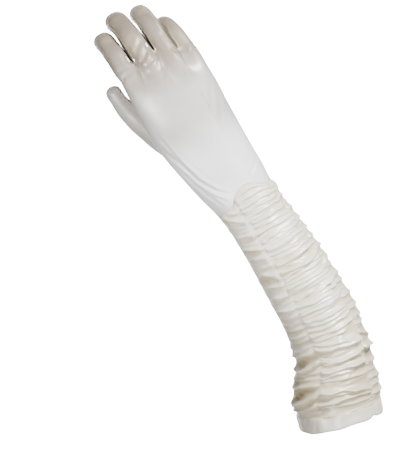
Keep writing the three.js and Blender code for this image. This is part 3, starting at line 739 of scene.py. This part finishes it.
def ruched_back():
    """The gathered cloth, its tone with painted shade, and the column of the elastic on the thumb's
    side. Its columns run from the thumb's side seam over the two elastics to the other seam."""
    half = (COLUMNS - 1) // 4
    share = np.concatenate([
        np.linspace(-2, -1, half, endpoint=False), np.linspace(-1, 1, 2 * half, endpoint=False),
        np.linspace(1, 2, half + 1),
    ])[None, :]
    top = wrist_height(back_angle(np.full_like(share, WRIST), share)) + TUCK
    bottom = HEM_HEIGHT - HEM_TUCK
    heights = lerp(bottom, top, np.linspace(0, 1, ROWS)[:, None])
    angle = back_angle(heights, share)
    under_hand = 1 - smoothstep(top - heights, 0.8, 2.4)
    over_hem = 1 - smoothstep(heights - bottom, 0.8, 3)
    base = trunk(heights, angle, -0.7 * under_hand + 0.45 * over_hem)
    normal = grid_normals(base)
    in_middle = smoothstep(1.05 - np.abs(share), 0, 0.1)
    beside_thumb = (1 - in_middle) * (share < 0)
    beside_little = (1 - in_middle) * (share > 0)
    folds = (
        in_middle * middle_folds(heights, (share + 1) / 2)
        + THUMB_SIDE_FULLER * beside_thumb * side_folds(heights, -share - 1, THUMB_FOLDS, 11)
        + beside_little * side_folds(heights, share - 1, LITTLE_FOLDS, 23)
    )
    # The elastics draw the folds down and pucker the cloth. from_elastic counts columns.
    from_elastic = np.abs(np.abs(share) - 1) * half
    draw = lerp(0.7, 1, smoothstep(from_elastic, 0, 1.3))
    pucker = 0.3 * np.sin(2 * math.pi * heights / PINCH_SPACING + 3 * np.sin(heights * 0.21 + share))
    folds = folds * draw + pucker * bell(from_elastic, 1.2)
    # The folds fade out at the hem, at the wrist, along the side seams and beside the thumb's
    calm = smoothstep(heights - bottom, 0.5, 9) * smoothstep(top - heights, 1.6, 3.6)
    smooth_side = 1 - 0.85 * smoothstep(-share, 1.42, 1.8) * smoothstep(heights, 74, 92)
    at_seam = 1 - smoothstep(np.abs(share), 1.86, 2)
    fullness = calm * smooth_side * at_seam
    sunk = np.zeros(folds.shape)
    for place, height, across, along, strength in HOLLOWS:
        sunk = np.maximum(sunk, strength * bell(share - place, across, heights - height, along))
    # Painted shade: darker and warmer in the valleys between the folds and in the hollows, less on raised
    # folds
    fold_valley_shade = 1 - smoothstep(folds, 0.1, 1.7)
    low_down = 1 - smoothstep(heights, 40, 110)
    tone_and_shade = TONE_OF_CLOTH + 0.06 * soft_noise(base, 30, 41) + TONE_LOW_DOWN * low_down
    tone_and_shade = tone_and_shade + SHADE_PAINTED_IN_FOLD * fold_valley_shade * fullness
    tone_and_shade = tone_and_shade + SHADE_PAINTED_IN_HOLLOW * sunk * lerp(1, 0.4, smoothstep(folds, 0.8, 2.6))
    lift = (folds + LOFT + 0.25 * soft_noise(base, 22, 17) - HOLLOW_DEPTH * sunk) * fullness
    down = np.stack([np.zeros_like(lift), np.zeros_like(lift), -DROOP * lift], -1)
    x = base + normal * lift[..., None] + down * smoothstep(heights - bottom, 0, 6)[..., None]
    # The cloth is held at the hem, the wrist, the seams and the elastics
    free = np.ones(base.shape[:2])
    free[0] = free[-1] = 0
    free[:, 0] = free[:, -1] = 0
    free[:, half] = free[:, 3 * half] = 0
    rest_up = step_lengths(x, 0) * (1 + SLACK)
    rest_round = step_lengths(x, 1)
    x = settle(x, free, rest_up, rest_round, base - ARM_BELOW * normal, normal, SETTLE_STEPS)
    return x, np.clip(tone_and_shade, 0, 1), half


def sleeve_back_piece():
    x, tone_and_shade, half = ruched_back()
    piece = add_mesh("sleeve_back_ruched", [(x, tone_and_shade, flat_uv(x))], GATHERED_SATIN)
    place_piece(piece, "sleeve_ruched_back")
    return x, half


# The plain side of the sleeve

# Drag lines that run out from the side seams: half width, and the least and most of the distance between
# two, how far each reaches, its slope and its rise
DRAG_WIDE = 1.9
DRAG_GAP, DRAG_REACH, DRAG_SLOPE, DRAG_RISE = (5, 9), (7, 22), (-0.5, 0.2), (0.35, 1.0)
UNDERSIDE_WIDTH = 95.0
UNDERSIDE_TONE = 0.22


def underside_piece():
    heights = np.linspace(HEM_HEIGHT + 0.15, WRIST - 0.15, 180)[:, None]
    t = np.linspace(0, 1, 73)[None, :]
    seam = section(heights)["seam"]
    angle = lerp(seam, 360 - seam, t)
    base = trunk(heights, angle)
    normal = grid_normals(base)
    from_seam = np.minimum(t, 1 - t) * UNDERSIDE_WIDTH
    rng = np.random.default_rng(5)
    drag = np.zeros(base.shape[:2])
    at = 22.0
    while at < WRIST - 6:
        for side in (0, 1):
            reach = rng.uniform(*DRAG_REACH)
            slope = rng.uniform(*DRAG_SLOPE)
            here = (t < 0.5) if side == 0 else (t >= 0.5)
            crest = at + rng.uniform(-3, 3) + slope * from_seam
            ridge = bell(heights - crest, DRAG_WIDE) * np.exp(-from_seam / reach)
            drag += here * rng.uniform(*DRAG_RISE) * ridge
        at += rng.uniform(*DRAG_GAP)
    calm = smoothstep(heights, HEM_HEIGHT, HEM_HEIGHT + 8) * (1 - smoothstep(heights, WRIST - 8, WRIST))
    swell = 0.35 * soft_noise(base, 34, 3) * smoothstep(from_seam, 0, 14)
    tight = smoothstep(from_seam, 0, 3)
    groove = -0.4 * SEAM_GROOVE * bell(from_seam, SEAM_GROOVE_WIDTH)
    x = base + normal * ((drag * tight + swell) * calm + groove)[..., None]
    piece = add_mesh("sleeve_underside_plain", [(x, UNDERSIDE_TONE, flat_uv(x))], SMOOTH_SATIN)
    place_cloth(piece, "sleeve_underside", [x])


# The strip at the arm opening

# Profile of the folded strip, from its top edge outside, round the bottom, to its top edge inside:
# how far out and how high
HEM_PROFILE = (
    (0.15, 13.1), (0.5, 12.6), (0.75, 11.6), (0.85, 10), (0.85, 8), (0.9, 6), (0.95, 4), (0.95, 2.4),
    (0.85, 1.0), (0.5, 0.25), (0.0, 0.0), (-0.5, 0.3), (-0.8, 1.2), (-0.95, 3), (-1.0, 6), (-1.0, 9),
    (-0.95, 12.8),
)

# Waves in the strip's wall and in its lower edge: how many go round, how big, and where they start
WALL_WAVES = ((7, 0.4, 0.8), (11, 0.35, 2.1), (19, 0.12, 0))
EDGE_WAVES = ((3, 0.5, 0.6), (9, 0.3, 0))
# Where the elastics pinch the strip: angle, lean of the pinch, half width, depth
HEM_PINCHES = ((-46, 0.8, 4.0, 1.0), (44, 0, 2.6, 0.7))
# Dimples: angle, half width, height, half height, depth
HEM_DIMPLES = ((-62, 11, 8.5, 4, 1.0), (12, 16, 8, 3, 0.6))
HEM_TONE = 0.14


def waves(angle, table):
    return sum(size * np.sin(count * angle + start) for count, size, start in table)


def hem_piece():
    angle = np.linspace(0, 360, 241)[None, :]
    profile = np.array(HEM_PROFILE[::-1])
    out, high = profile[:, :1], profile[:, 1:]
    a = np.radians(angle)
    ripple = waves(a, WALL_WAVES)
    around = (angle + 180) % 360 - 180
    pinched = sum(deep * bell(around - at - lean * high, wide) for at, lean, wide, deep in HEM_PINCHES)
    dimpled = sum(deep * bell(around - at, wide, high - middle, tall)
                  for at, wide, middle, tall, deep in HEM_DIMPLES)
    edge = 1.6 * bell(around - 45, 4.5) + waves(a, EDGE_WAVES)
    near_top = smoothstep(high, 3, 12)
    behind = 1 - 0.6 * smoothstep(np.abs(around), 90, 130)
    heights = high + behind * (edge * (1 - near_top) + 0.4 * ripple * near_top)
    relief = ripple * (0.5 + 0.5 * near_top) - 0.4 * pinched - 0.8 * dimpled
    x = trunk(heights, angle, out + behind * relief)
    x[:, -1] = x[:, 0]
    piece = add_mesh("hem_strip", [(x, HEM_TONE, flat_uv(x))], GATHERED_SATIN, thickness=0)
    place_cloth(piece, "hem_band", [x.swapaxes(0, 1)])


# The hand

HEIGHT_OF_BLEND = 322.0  # from here up the palm turns into fingers
PALM_BOUNDS = (-1, -0.478, 0.049, 0.554, 1)  # where the fingers part, as shares of half the palm's width
COLUMNS_PER_FINGER = 22
ROWS_OF_PALM, ROWS_TO_CROTCH, ROWS_TO_TIP = 92, 40, 72
COLUMNS_DRAWN = 7  # how many columns beside a crotch are drawn together
STEP_ALONG_DIGIT = 0.25


def digit_line(digit):
    """The centre line of a finger: length from the knuckle, points, and directions."""
    total = sum(digit["lengths"])
    s = np.arange(-digit["buried"], total + STEP_ALONG_DIGIT / 2, STEP_ALONG_DIGIT)
    half_bend = JOINT_BEND_LENGTH / 2
    bend, joint, so_far = np.zeros_like(s), 0.0, 0.0
    for length, angle in zip(digit["lengths"], BENDS):
        bend += (angle - so_far) * smoothstep(s, joint - half_bend, joint + half_bend)
        joint, so_far = joint + length, angle
    bend = np.radians(bend)
    along = unit(np.stack([np.full_like(s, digit["to_x"] / total), np.sin(bend), np.cos(bend)], -1))
    buried = digit["buried"]
    start = np.array([digit["x"] - digit["to_x"] * buried / total, digit["y"], digit["z"] - buried])
    moved = np.concatenate([np.zeros((1, 3)), np.cumsum(along[:-1] * STEP_ALONG_DIGIT, 0)])
    return s, start + moved, along, total


LINES = [digit_line(digit) for digit in FINGERS]


def along_digit(f, s):
    """Point and direction on a finger's centre line, carried on straight beyond its ends."""
    places, points, directions, _ = LINES[f]
    inside = np.clip(s, places[0], places[-1])
    point = points_at(inside, places, points)
    along = unit(points_at(inside, places, directions))
    return point + along * (s - inside)[..., None], along


def digit_surface(f, s, theta, outwards=0.0):
    """Points on a finger at a length from its knuckle and an angle from its back."""
    digit, total = FINGERS[f], LINES[f][3]
    s, theta = np.broadcast_arrays(np.asarray(s, float), np.asarray(theta, float))
    point, along = along_digit(f, s)
    radius = lerp(digit["root"], digit["tip"], smoothstep(s, 0, total - digit["tip"]))
    into_tip = np.clip(digit["tip"] - (total - s), 0, digit["tip"]) / digit["tip"]
    radius = (radius + outwards) * np.sqrt(np.clip(1 - into_tip**DIGIT_SQUARE, 0, 1))
    back = unit(np.stack([np.zeros_like(s), -along[..., 2], along[..., 1]], -1))
    across = np.cross(along, back)
    a = np.radians(theta)
    sideways = signed_power(np.sin(a), 2 / DIGIT_SQUARE)
    outward = signed_power(np.cos(a), 2 / DIGIT_SQUARE)
    return (
        point + across * (radius * sideways)[..., None]
        + back * (radius * DIGIT_FLATTEN * outward)[..., None]
    )


# Sides of a finger: -1 is towards the thumb, 1 away from it

def on_outside(f, side):
    """Whether this side of a finger is an outer side of the hand, with no side strip."""
    return (f == 0 and side < 0) or (f == 3 and side > 0)


def crotch_at(f, side):
    return FINGERS[f]["crotch"][0 if side < 0 else 1]


def edge_column(grid, side):
    return grid[:, :1] if side < 0 else grid[:, -1:]


def spread_at(f, side, s):
    """Half angle of the side strip on this side of a finger."""
    if on_outside(f, side):
        return np.zeros_like(s)
    end = LINES[f][3] - FOURCHETTE_END
    widest = LITTLE_SPREAD if (f, side) in ((2, 1), (3, -1)) else FOURCHETTE_SPREAD
    return widest * (1 - smoothstep(s, end - 14, end))


def crotch_pull(x):
    """How much the cloth beside the crotch is drawn to the middle between two fingers."""
    t = np.clip(1 - x / CROTCH_ROUND, 0, 1)
    return np.where(x <= 0, 1.0, 1 - np.sqrt(np.clip(1 - t**2, 0, 1)))


def side_point(f, side, x, q):
    """A point on the side strip of a finger: x beyond the crotch, q across it from the palm to the back.
    The strips meet on the palm's side and part on the back's, where a narrow gap stays open."""
    s = crotch_at(f, side) + x
    spread = spread_at(f, side, s)
    puff = STRIP_PUFF * (1 - q**2) * (0.2 - 0.9 * q) * smoothstep(x, 1, 8) * (1 - smoothstep(x, 22, 45))
    return digit_surface(f, s, side * (90 - q * spread), puff)


def finger_grid(f, face):
    """Two grids of one finger for one face of the hand: from the palm to the crotch, and to the tip."""
    fraction = np.linspace(0, 1, COLUMNS_PER_FINGER + 1)[None, :]
    crotch_s = lerp(crotch_at(f, -1), crotch_at(f, 1), fraction)
    first_s = HEIGHT_OF_BLEND - FINGERS[f]["z"]
    k = np.linspace(0, 1, ROWS_TO_CROTCH)[:, None]
    s_blend = lerp(first_s, crotch_s, k)
    climb = np.sin(np.linspace(0, math.pi / 2, ROWS_TO_TIP))[:, None] ** 0.9  # closer near the tip
    s_free = lerp(crotch_s, LINES[f][3], climb)
    grids = []
    for s in (s_blend, s_free):
        left = 90 - spread_at(f, -1, s[:, :1])
        right = 90 - spread_at(f, 1, s[:, -1:])
        theta = lerp(-left, right, fraction)
        p = digit_surface(f, s, on_face(theta, face))
        if s is s_blend:
            beside_crotch = np.abs(2 * fraction - 1) ** 2
            into_finger = smoothstep(k, lerp(0.12, 0.74, beside_crotch), 1)
            p = lerp(palm_at(f, s, theta, left, right, face), p, into_finger[..., None])
        grids.append((p, s, theta))
    return grids


def palm_angle(f, theta, left, right, height):
    """The angle round the palm that carries on a column of a finger."""
    low, high = np.sin(np.radians(-left)), np.sin(np.radians(right))
    share = (np.sin(np.radians(theta)) - low) / (high - low)
    place = lerp(PALM_BOUNDS[f], PALM_BOUNDS[f + 1], share)
    square = section(height)["square"]
    return np.degrees(np.arcsin(signed_power(np.clip(place, -1, 1), square / 2)))


def palm_at(f, s, theta, left, right, face):
    """Where a finger's points would lie if the palm went on, leaning with the first bones."""
    point, _ = along_digit(f, s)
    height = np.where(s < 0, FINGERS[f]["z"] + s, point[..., 2])
    top = SECTIONS[-1, 0]
    beyond = np.maximum(height - top, 0)
    height = np.minimum(height, top)
    angle = palm_angle(f, theta, left, right, height)
    p = trunk(height, on_face(angle, face))
    tilt = math.radians(BENDS[0])
    return p + beyond[..., None] * np.array([0, math.tan(tilt), 1])


def join_fingers(grids, face):
    """Draws the edges of neighbouring fingers together below their crotch, and parts them above it."""
    columns = np.arange(COLUMNS_PER_FINGER + 1)
    near_left = np.clip(1 - columns / COLUMNS_DRAWN, 0, 1) ** 2
    near_right = near_left[::-1]
    for f in range(3):
        for part in (0, 1):
            left, right = grids[f][part], grids[f + 1][part]
            edge, next_edge = left[0][:, -1].copy(), right[0][:, 0].copy()
            x_left = left[1][:, -1] - crotch_at(f, 1)
            x_right = right[1][:, 0] - crotch_at(f + 1, -1)
            if part == 0:
                middle_left = middle_right = (edge + next_edge) / 2
            else:
                middle_left = (edge + digit_at(f + 1, -1, x_left, face)) / 2
                middle_right = (next_edge + digit_at(f, 1, x_right, face)) / 2
            shift = (middle_left - edge) * crotch_pull(x_left)[:, None]
            left[0][:] += shift[:, None] * near_right[None, :, None]
            shift = (middle_right - next_edge) * crotch_pull(x_right)[:, None]
            right[0][:] += shift[:, None] * near_left[None, :, None]


def digit_at(f, side, x, face):
    """The edge of the side strip on a finger, at this length above the crotch, on one face."""
    s = crotch_at(f, side) + x
    theta = side * (90 - spread_at(f, side, s))
    return digit_surface(f, s, on_face(theta, face))


# Creases on the back of the hand, in the plane of the hand: depth, half width, and the points of the line
BACK_CREASES = (
    (1.0, 1.3, ((-33.5, 290), (-25.5, 270), (-18, 250), (-8, 235), (3, 226))),
    (0.9, 1.1, ((-29.6, 271), (-22.5, 252), (-15.4, 233), (-8, 221))),
    (0.5, 1.0, ((-31, 300), (-27.5, 284), (-21, 262), (-13, 246))),
    (0.5, 0.9, ((-19, 246), (-12, 232), (-4, 222))),
    (0.4, 1.2, ((22, 232), (30, 238), (37, 244))),
    (0.25, 1.6, ((31, 322), (25, 308), (17, 296))),
    (0.3, 1.6, ((35, 318), (30, 300), (22, 284))),
    (0.6, 3.4, ((-37, 349), (-24, 350), (-6, 351), (10, 350), (22, 344))),
    (1.1, 1.4, ((-18, 368), (-14, 373), (-8, 378), (-3.5, 379))),
    (1.0, 1.3, ((-17, 361.5), (-11, 364.5), (-5, 370), (-1.5, 374.5))),
    (0.7, 1.1, ((-16, 382), (-11, 386), (-5, 385))),
    (0.8, 1.3, ((-19.5, 359), (-11, 357.5), (-2, 361))),
    (0.5, 1.1, ((-12.5, 391), (-8, 388), (-4, 392))),
    (0.7, 1.4, ((-38, 353), (-34, 357.5), (-28, 357))),
    (0.5, 1.3, ((-37.5, 361), (-33, 364), (-27, 362))),
    (0.6, 1.2, ((14.5, 362), (19, 356), (25, 353))),
    (0.45, 1.1, ((27, 350), (31, 354), (36, 355))),
)
CREASE_LIP = 0.5  # how high the cloth stands beside a crease, for its depth


def crease(p, depth, half_width, line):
    """A groove along a line, with a raised lip on each side, fading out at its ends."""
    d, place = distance_to_line(p[..., 0], p[..., 2], line)
    fade = np.sin(math.pi * np.clip(place, 0.02, 0.98)) ** 0.6
    lip = CREASE_LIP * bell(d - 2.1 * half_width, 1.3 * half_width)
    return depth * fade * (lip - bell(d, half_width))


def seam_relief(distance, along, seed):
    """A sewn seam: a groove where two cloths meet, a raised edge, and small puckers beside it."""
    groove = -SEAM_GROOVE * bell(distance, SEAM_GROOVE_WIDTH)
    edge = SEAM_EDGE * bell(distance - 1.5, 0.7)
    phase = 2 * math.pi * along / PUCKER_LENGTH + 1.3 * np.sin(along * 0.37 + seed) + seed
    beside = np.exp(-distance / PUCKER_REACH) * smoothstep(distance, 0, 0.9)
    return groove + edge + PUCKER_RISE * np.sin(phase) * beside


def hand_face(face):
    """The four strips of one face of the hand, each from the wrist to a fingertip."""
    fingers = [finger_grid(f, face) for f in range(4)]
    join_fingers(fingers, face)
    strips = []
    for f in range(4):
        (blend, s_blend, theta_blend), (free, s_free, theta_free) = fingers[f]
        left, right = -theta_blend[:1, :1], theta_blend[:1, -1:]
        at_wrist = palm_angle(f, theta_blend[:1], left, right, np.full((1, 1), WRIST))
        start = wrist_height(at_wrist) if face == "back" else WRIST + 0 * at_wrist
        rows = lerp(start, HEIGHT_OF_BLEND, np.linspace(0, 1, ROWS_OF_PALM)[:, None])
        angle = palm_angle(f, theta_blend[:1], left, right, rows)
        palm = trunk(rows, on_face(angle, face))
        whole = np.concatenate([palm, blend[1:], free[1:]])
        s = np.concatenate([rows - FINGERS[f]["z"], s_blend[1:], s_free[1:]])
        palm_theta = np.broadcast_to(theta_blend[:1], rows.shape)
        theta = np.concatenate([palm_theta, theta_blend[1:], theta_free[1:]])
        strips.append((whole, s, theta))
    return strips


def hand_normals(strips, face):
    """Normals of the strips, the same on the line that two of them share below their crotch."""
    normals = [grid_normals(p) * (1 if face == "back" else -1) for p, _, _ in strips]
    for f in range(3):
        shared = strips[f][1][:, -1] <= crotch_at(f, 1) + 1e-6
        mean = unit(normals[f][:, -1] + normals[f + 1][:, 0])
        normals[f][shared, -1] = mean[shared]
        normals[f + 1][shared, 0] = mean[shared]
    return normals


def seam_distance(f, side, s, theta):
    """Distance from the seam of a side strip, round the foot of the crotch too, or from the side seam."""
    radius = lerp(FINGERS[f]["root"], FINGERS[f]["tip"], smoothstep(s, 0, LINES[f][3]))
    arc = np.radians(np.abs(theta - edge_column(theta, side))) * radius
    if on_outside(f, side):
        return arc
    return np.hypot(arc, np.maximum(crotch_at(f, side) - s, 0))


# The hand grows darker from the wrist to the fingers, partly skin showing through and partly painted shade
# where the fingers curl away and below the knuckles: from one height to another, by how much
HAND_SKIN_AND_SHADE_TONES = ((258, 302, 0.35), (322, 346, 0.2), (346, 372, 0.14))
CREAM_WIDE = 1.5  # the cream edge beside a side strip's seam
CROTCH_REACH = 34  # how far up a finger the cloth is drawn in beside the crotch
CROTCH_DIP, CROTCH_DIP_WIDE = 0.7, 3.6
CROTCH_PUCKER, CROTCH_PUCKERS = 0.16, 9  # rise, and how many go round
HAND_SWELL = 0.28


def hand_piece(name, face, node):
    """One face of the hand, with its creases and seams, and the cream edge round each crotch."""
    strips = hand_face(face)
    normals = hand_normals(strips, face)
    grids = []
    for f, (p, s, theta) in enumerate(strips):
        total, height = LINES[f][3], p[..., 2]
        relief = HAND_SWELL * soft_noise(p, 30, 8) * smoothstep(height, WRIST, WRIST + 20)
        if face == "back":
            for depth, half_width, line in BACK_CREASES:
                relief += crease(p, depth, half_width, line)
        cream = np.zeros_like(s)
        for side in (-1, 1):
            d = seam_distance(f, side, s, theta)
            relief += seam_relief(d, s, seed=f + 2.0 * side)
            if on_outside(f, side):
                continue
            edge = np.exp(-((d / CREAM_WIDE) ** 4))
            cream = np.maximum(cream, edge * (1 - 0.5 * smoothstep(s, 30, 55)))
            around = np.arctan2(np.abs(theta - edge_column(theta, side)), s - 20)
            beside = s < CROTCH_REACH
            relief -= CROTCH_DIP * bell(d, CROTCH_DIP_WIDE) * beside
            relief += CROTCH_PUCKER * np.sin(CROTCH_PUCKERS * around + f) * bell(d - 4, 3) * beside
        moved = p + normals[f] * (relief * (1 - smoothstep(s, total - 2.5, total - 0.5)))[..., None]
        # Tone: a random mottle, then the hand's darkening, partly painted shade; cream at the crotch seams
        tone = 0.02 + 0.05 * soft_noise(p, 40, 5)
        for low, high, more in HAND_SKIN_AND_SHADE_TONES:
            tone = tone + more * smoothstep(height, low, high)
        tone_and_shade = np.clip(lerp(tone, 1.0, cream * smoothstep(s, 12, 15)), 0, 1)
        grids.append((moved, tone_and_shade, flat_uv(moved)))
    piece = add_mesh(name, grids, SMOOTH_SATIN, flip=face == "palm")
    place_cloth(piece, node, [p for p, _, _ in grids])


def fourchette_piece(i):
    """The strip between two fingers, from one down to the crotch and up the next."""
    q = np.linspace(-1, 1, 15)[None, :]
    sides = ((i, 1), (i + 1, -1))
    halves, tone_and_painted_shade = [], []
    for (f, side), other in (sides, sides[::-1]):
        length = LINES[f][3] - FOURCHETTE_END - crotch_at(f, side)
        x = (np.linspace(0, 1, 64)[:, None] ** 1.4) * length
        own = side_point(f, side, x + 0 * q, q)
        middle = (own + side_point(*other, x + 0 * q, q)) / 2
        halves.append(lerp(own, middle, crotch_pull(x)[..., None]))
        # Painted shade, darkest in the middle of the strip near the crotch, where the slit between the
        # fingers is in shadow
        tone_and_painted_shade.append((1 - q**4) * (1 - 0.75 * smoothstep(x, 14, 40)))
    grid = np.concatenate([halves[0][::-1], halves[1][1:]])
    tone_and_shade = np.concatenate([tone_and_painted_shade[0][::-1], tone_and_painted_shade[1][1:]])
    name = f"fourchette_{FINGER_NAMES[i]}_{FINGER_NAMES[i + 1]}"
    piece = add_mesh(name + "_satin", [(grid, tone_and_shade, flat_uv(grid))], SHADED_SATIN)
    place_cloth(piece, name, [grid])


def thumb_piece():
    rows, columns, smoothing_passes = 110, 60, 30
    run = run_along(THUMB[:, :3])
    places = run[-1] * np.linspace(0, 1, rows) ** 0.85
    from_tip = run[-1] - places
    centre = points_at(places, run, THUMB)
    for _ in range(smoothing_passes):
        centre[1:-1] = (centre[:-2] + centre[2:]) / 4 + centre[1:-1] / 2
    radius = np.interp(places, run, THUMB[:, 3])
    radius = radius * np.sqrt(np.clip(1 - np.clip(1 - from_tip / THUMB_DOME, 0, 1) ** 2.2, 0, 1))
    along = unit(np.gradient(centre, axis=0))
    back = unit(np.stack([np.zeros(rows), -along[:, 2], along[:, 1]], -1))
    across = np.cross(along, back)
    theta = np.linspace(0, 360, columns + 1)[None, :]
    a = np.radians(theta)[..., None]
    out = across[:, None] * np.sin(a) + back[:, None] * np.cos(a)
    from_seam = np.radians(np.abs((theta - THUMB_SEAM + 180) % 360 - 180)) * radius[:, None]
    p = centre[:, None] + out * radius[:, None, None]
    relief = seam_relief(from_seam, places[:, None] + 0 * theta, seed=4.0) + 0.3 * soft_noise(p, 22, 14)
    p = p + out * (relief * smoothstep(from_tip, 0.5, 3)[:, None])[..., None]
    p[:, -1] = p[:, 0]
    piece = add_mesh("thumb_satin", [(p, THUMB_TONE, flat_uv(p))], SMOOTH_SATIN)
    place_cloth(piece, "thumb", [p])


# Stitches that hold the elastics

STITCH_LENGTH, STITCH_GAP = 1.8, 1.4
THREAD_RADIUS, THREAD_SIDES = 0.13, 6
STITCH_MARGIN = 2.0  # no stitch this near the row's ends
STITCH_TONE = 0.3


def thread_tube(path):
    """A closed thread along a few points, with pinched ends."""
    along = unit(np.gradient(path, axis=0))
    side = unit(np.cross(along, np.array([0.13, 1.0, 0.21])))
    up = np.cross(along, side)
    a = np.linspace(0, 2 * math.pi, THREAD_SIDES + 1)[None, :, None]
    taper = np.full((len(path), 1, 1), THREAD_RADIUS)
    taper[0] = taper[-1] = 0.0
    return path[:, None] + (side[:, None] * np.cos(a) + up[:, None] * np.sin(a)) * taper


def stitches_piece(x, half):
    """Short bowed stitches along both elastics, whose columns are half and 3 * half of the gathers."""
    normal = grid_normals(x)
    share = np.linspace(0, 1, 6)
    bow = 0.05 + 0.32 * np.sin(math.pi * share)
    grids = []
    for column in (half, 3 * half):
        line = x[:, column]
        out = unit(normal[:, column] + normal[:, column - 1] + normal[:, column + 1])
        run = run_along(line)
        start = STITCH_MARGIN
        while start + STITCH_LENGTH < run[-1] - STITCH_MARGIN:
            places = start + STITCH_LENGTH * share
            path = points_at(places, run, line) + points_at(places, run, out) * bow[:, None]
            tube = thread_tube(path)
            grids.append((tube, STITCH_TONE, flat_uv(tube)))
            start += STITCH_LENGTH + STITCH_GAP
    piece = add_mesh("shirring_stitches", grids, THREAD, thickness=0)
    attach(piece, "root")


# Build the glove

gathered, half_columns = sleeve_back_piece()
underside_piece()
hem_piece()
hand_piece("hand_back_satin", "back", "back_of_hand")
hand_piece("hand_palm_satin", "palm", "palm")
for pair in range(3):
    fourchette_piece(pair)
thumb_piece()
stitches_piece(gathered, half_columns)
webbing = elastic_webbing()
for node in ("shirring_elastic_thumb_side", "shirring_elastic_little_side"):
    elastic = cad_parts[node]
    elastic.data.materials.clear()
    elastic.data.materials.append(webbing)


# Backdrop, light and camera

def backdrop():
    """A white paper floor that curves up into a wall, both far enough off to look at the glove from all
    round."""
    floor_height, wall_height, front, back, wide, bend = -1150, 3750, -3400, 3400, 3400, 500
    turn = np.linspace(0, math.pi / 2, 24)
    y = np.concatenate([[front, 0], back - bend + bend * np.sin(turn), [back]])
    z = np.concatenate([[0, 0], bend - bend * np.cos(turn), [wall_height]]) + floor_height
    x = np.linspace(-wide, wide, 9)
    grid = np.stack(np.broadcast_arrays(x, y[:, None], z[:, None]), -1)
    material, tree, shader, at = new_material("paper_backdrop")
    grain = add_node(tree, "ShaderNodeTexNoise", {"Scale": 3, "Detail": 2}, {"Vector": at["Object"]})
    paint(tree, shader, grain.outputs["Fac"], ((0.3, "#F7F7F7"), (0.7, "#FAFAFA")))
    shader.inputs["Roughness"].default_value = 0.9
    add_mesh("paper_backdrop", [(grid, 0, flat_uv(grid))], material, thickness=0)


# Soft boxes. place, aim: in metres. width: of the square box. power: in watts. beam: how many degrees
# its honeycomb lets the light spread.
MIDDLE_OF_SLEEVE = (0.015, 0.0, 0.095)
WRIST_AND_THUMB = (-0.02, 0.0, 0.28)
HEM = (0.0, 0.0, 0.015)
BACKDROP = (-0.03, 3.4, -0.35)
SOFT_BOXES = (
    # name, place, aim, width, power, beam
    ("key", (0.95, -0.85, 1.1), MIDDLE_OF_SLEEVE, 0.3, 3.0, 34),
    ("front", (0.75, -1.75, 0.05), MIDDLE_OF_SLEEVE, 0.8, 1.3, 32),
    ("wrist_light", (-0.62, -1.3, 0.4), WRIST_AND_THUMB, 0.3, 0.39, 13),
    ("hem_light", (-0.65, -1.3, -0.3), HEM, 0.3, 0.19, 13),
    ("backdrop_light", (-0.03, 2.7, -0.3), BACKDROP, 1.05, 240, 180),
)


def soft_box(name, place, aim, width, power, beam):
    data = bpy.data.lights.new(name, "AREA")
    data.size = width
    data.energy = power
    data.spread = math.radians(beam)
    light = bpy.data.objects.new(name, data)
    bpy.context.scene.collection.objects.link(light)
    light.location = place
    light.rotation_euler = (Vector(aim) - Vector(place)).to_track_quat("-Z", "Y").to_euler()
    light.visible_camera = False


def studio_air():
    """The faint even light of a white room."""
    world = bpy.data.worlds.new("studio")
    bpy.context.scene.world = world
    world.use_nodes = True
    air = world.node_tree.nodes["Background"]
    air.inputs["Color"].default_value = linear("#F6F6F8")
    air.inputs["Strength"].default_value = 0.16


PICTURE_ROWS = 457
MM_PER_PIXEL = 0.87


def camera():
    """The photograph's angle: from a little above, with the glove leaning to the left."""
    distance, elevation, roll = 2.6, math.radians(9), math.radians(27)
    aim = Vector((-0.0348, 0, 0.2096))
    picture_height = PICTURE_ROWS * MM_PER_PIXEL * MM
    data = bpy.data.cameras.new("camera")
    data.sensor_fit = "VERTICAL"
    data.lens = data.sensor_height * distance / picture_height
    forward = Vector((0, math.cos(elevation), -math.sin(elevation)))
    right = Vector((1, 0, 0))
    up = right.cross(forward)
    image_right = right * math.cos(roll) - up * math.sin(roll)
    image_up = right * math.sin(roll) + up * math.cos(roll)
    turn = Matrix((image_right, image_up, -forward)).transposed()
    eye = bpy.data.objects.new("camera", data)
    eye.matrix_world = Matrix.Translation(aim - forward * distance) @ turn.to_4x4()
    data.clip_end = 50
    bpy.context.scene.collection.objects.link(eye)
    bpy.context.scene.camera = eye


backdrop()
for box in SOFT_BOXES:
    soft_box(*box)
studio_air()
camera()
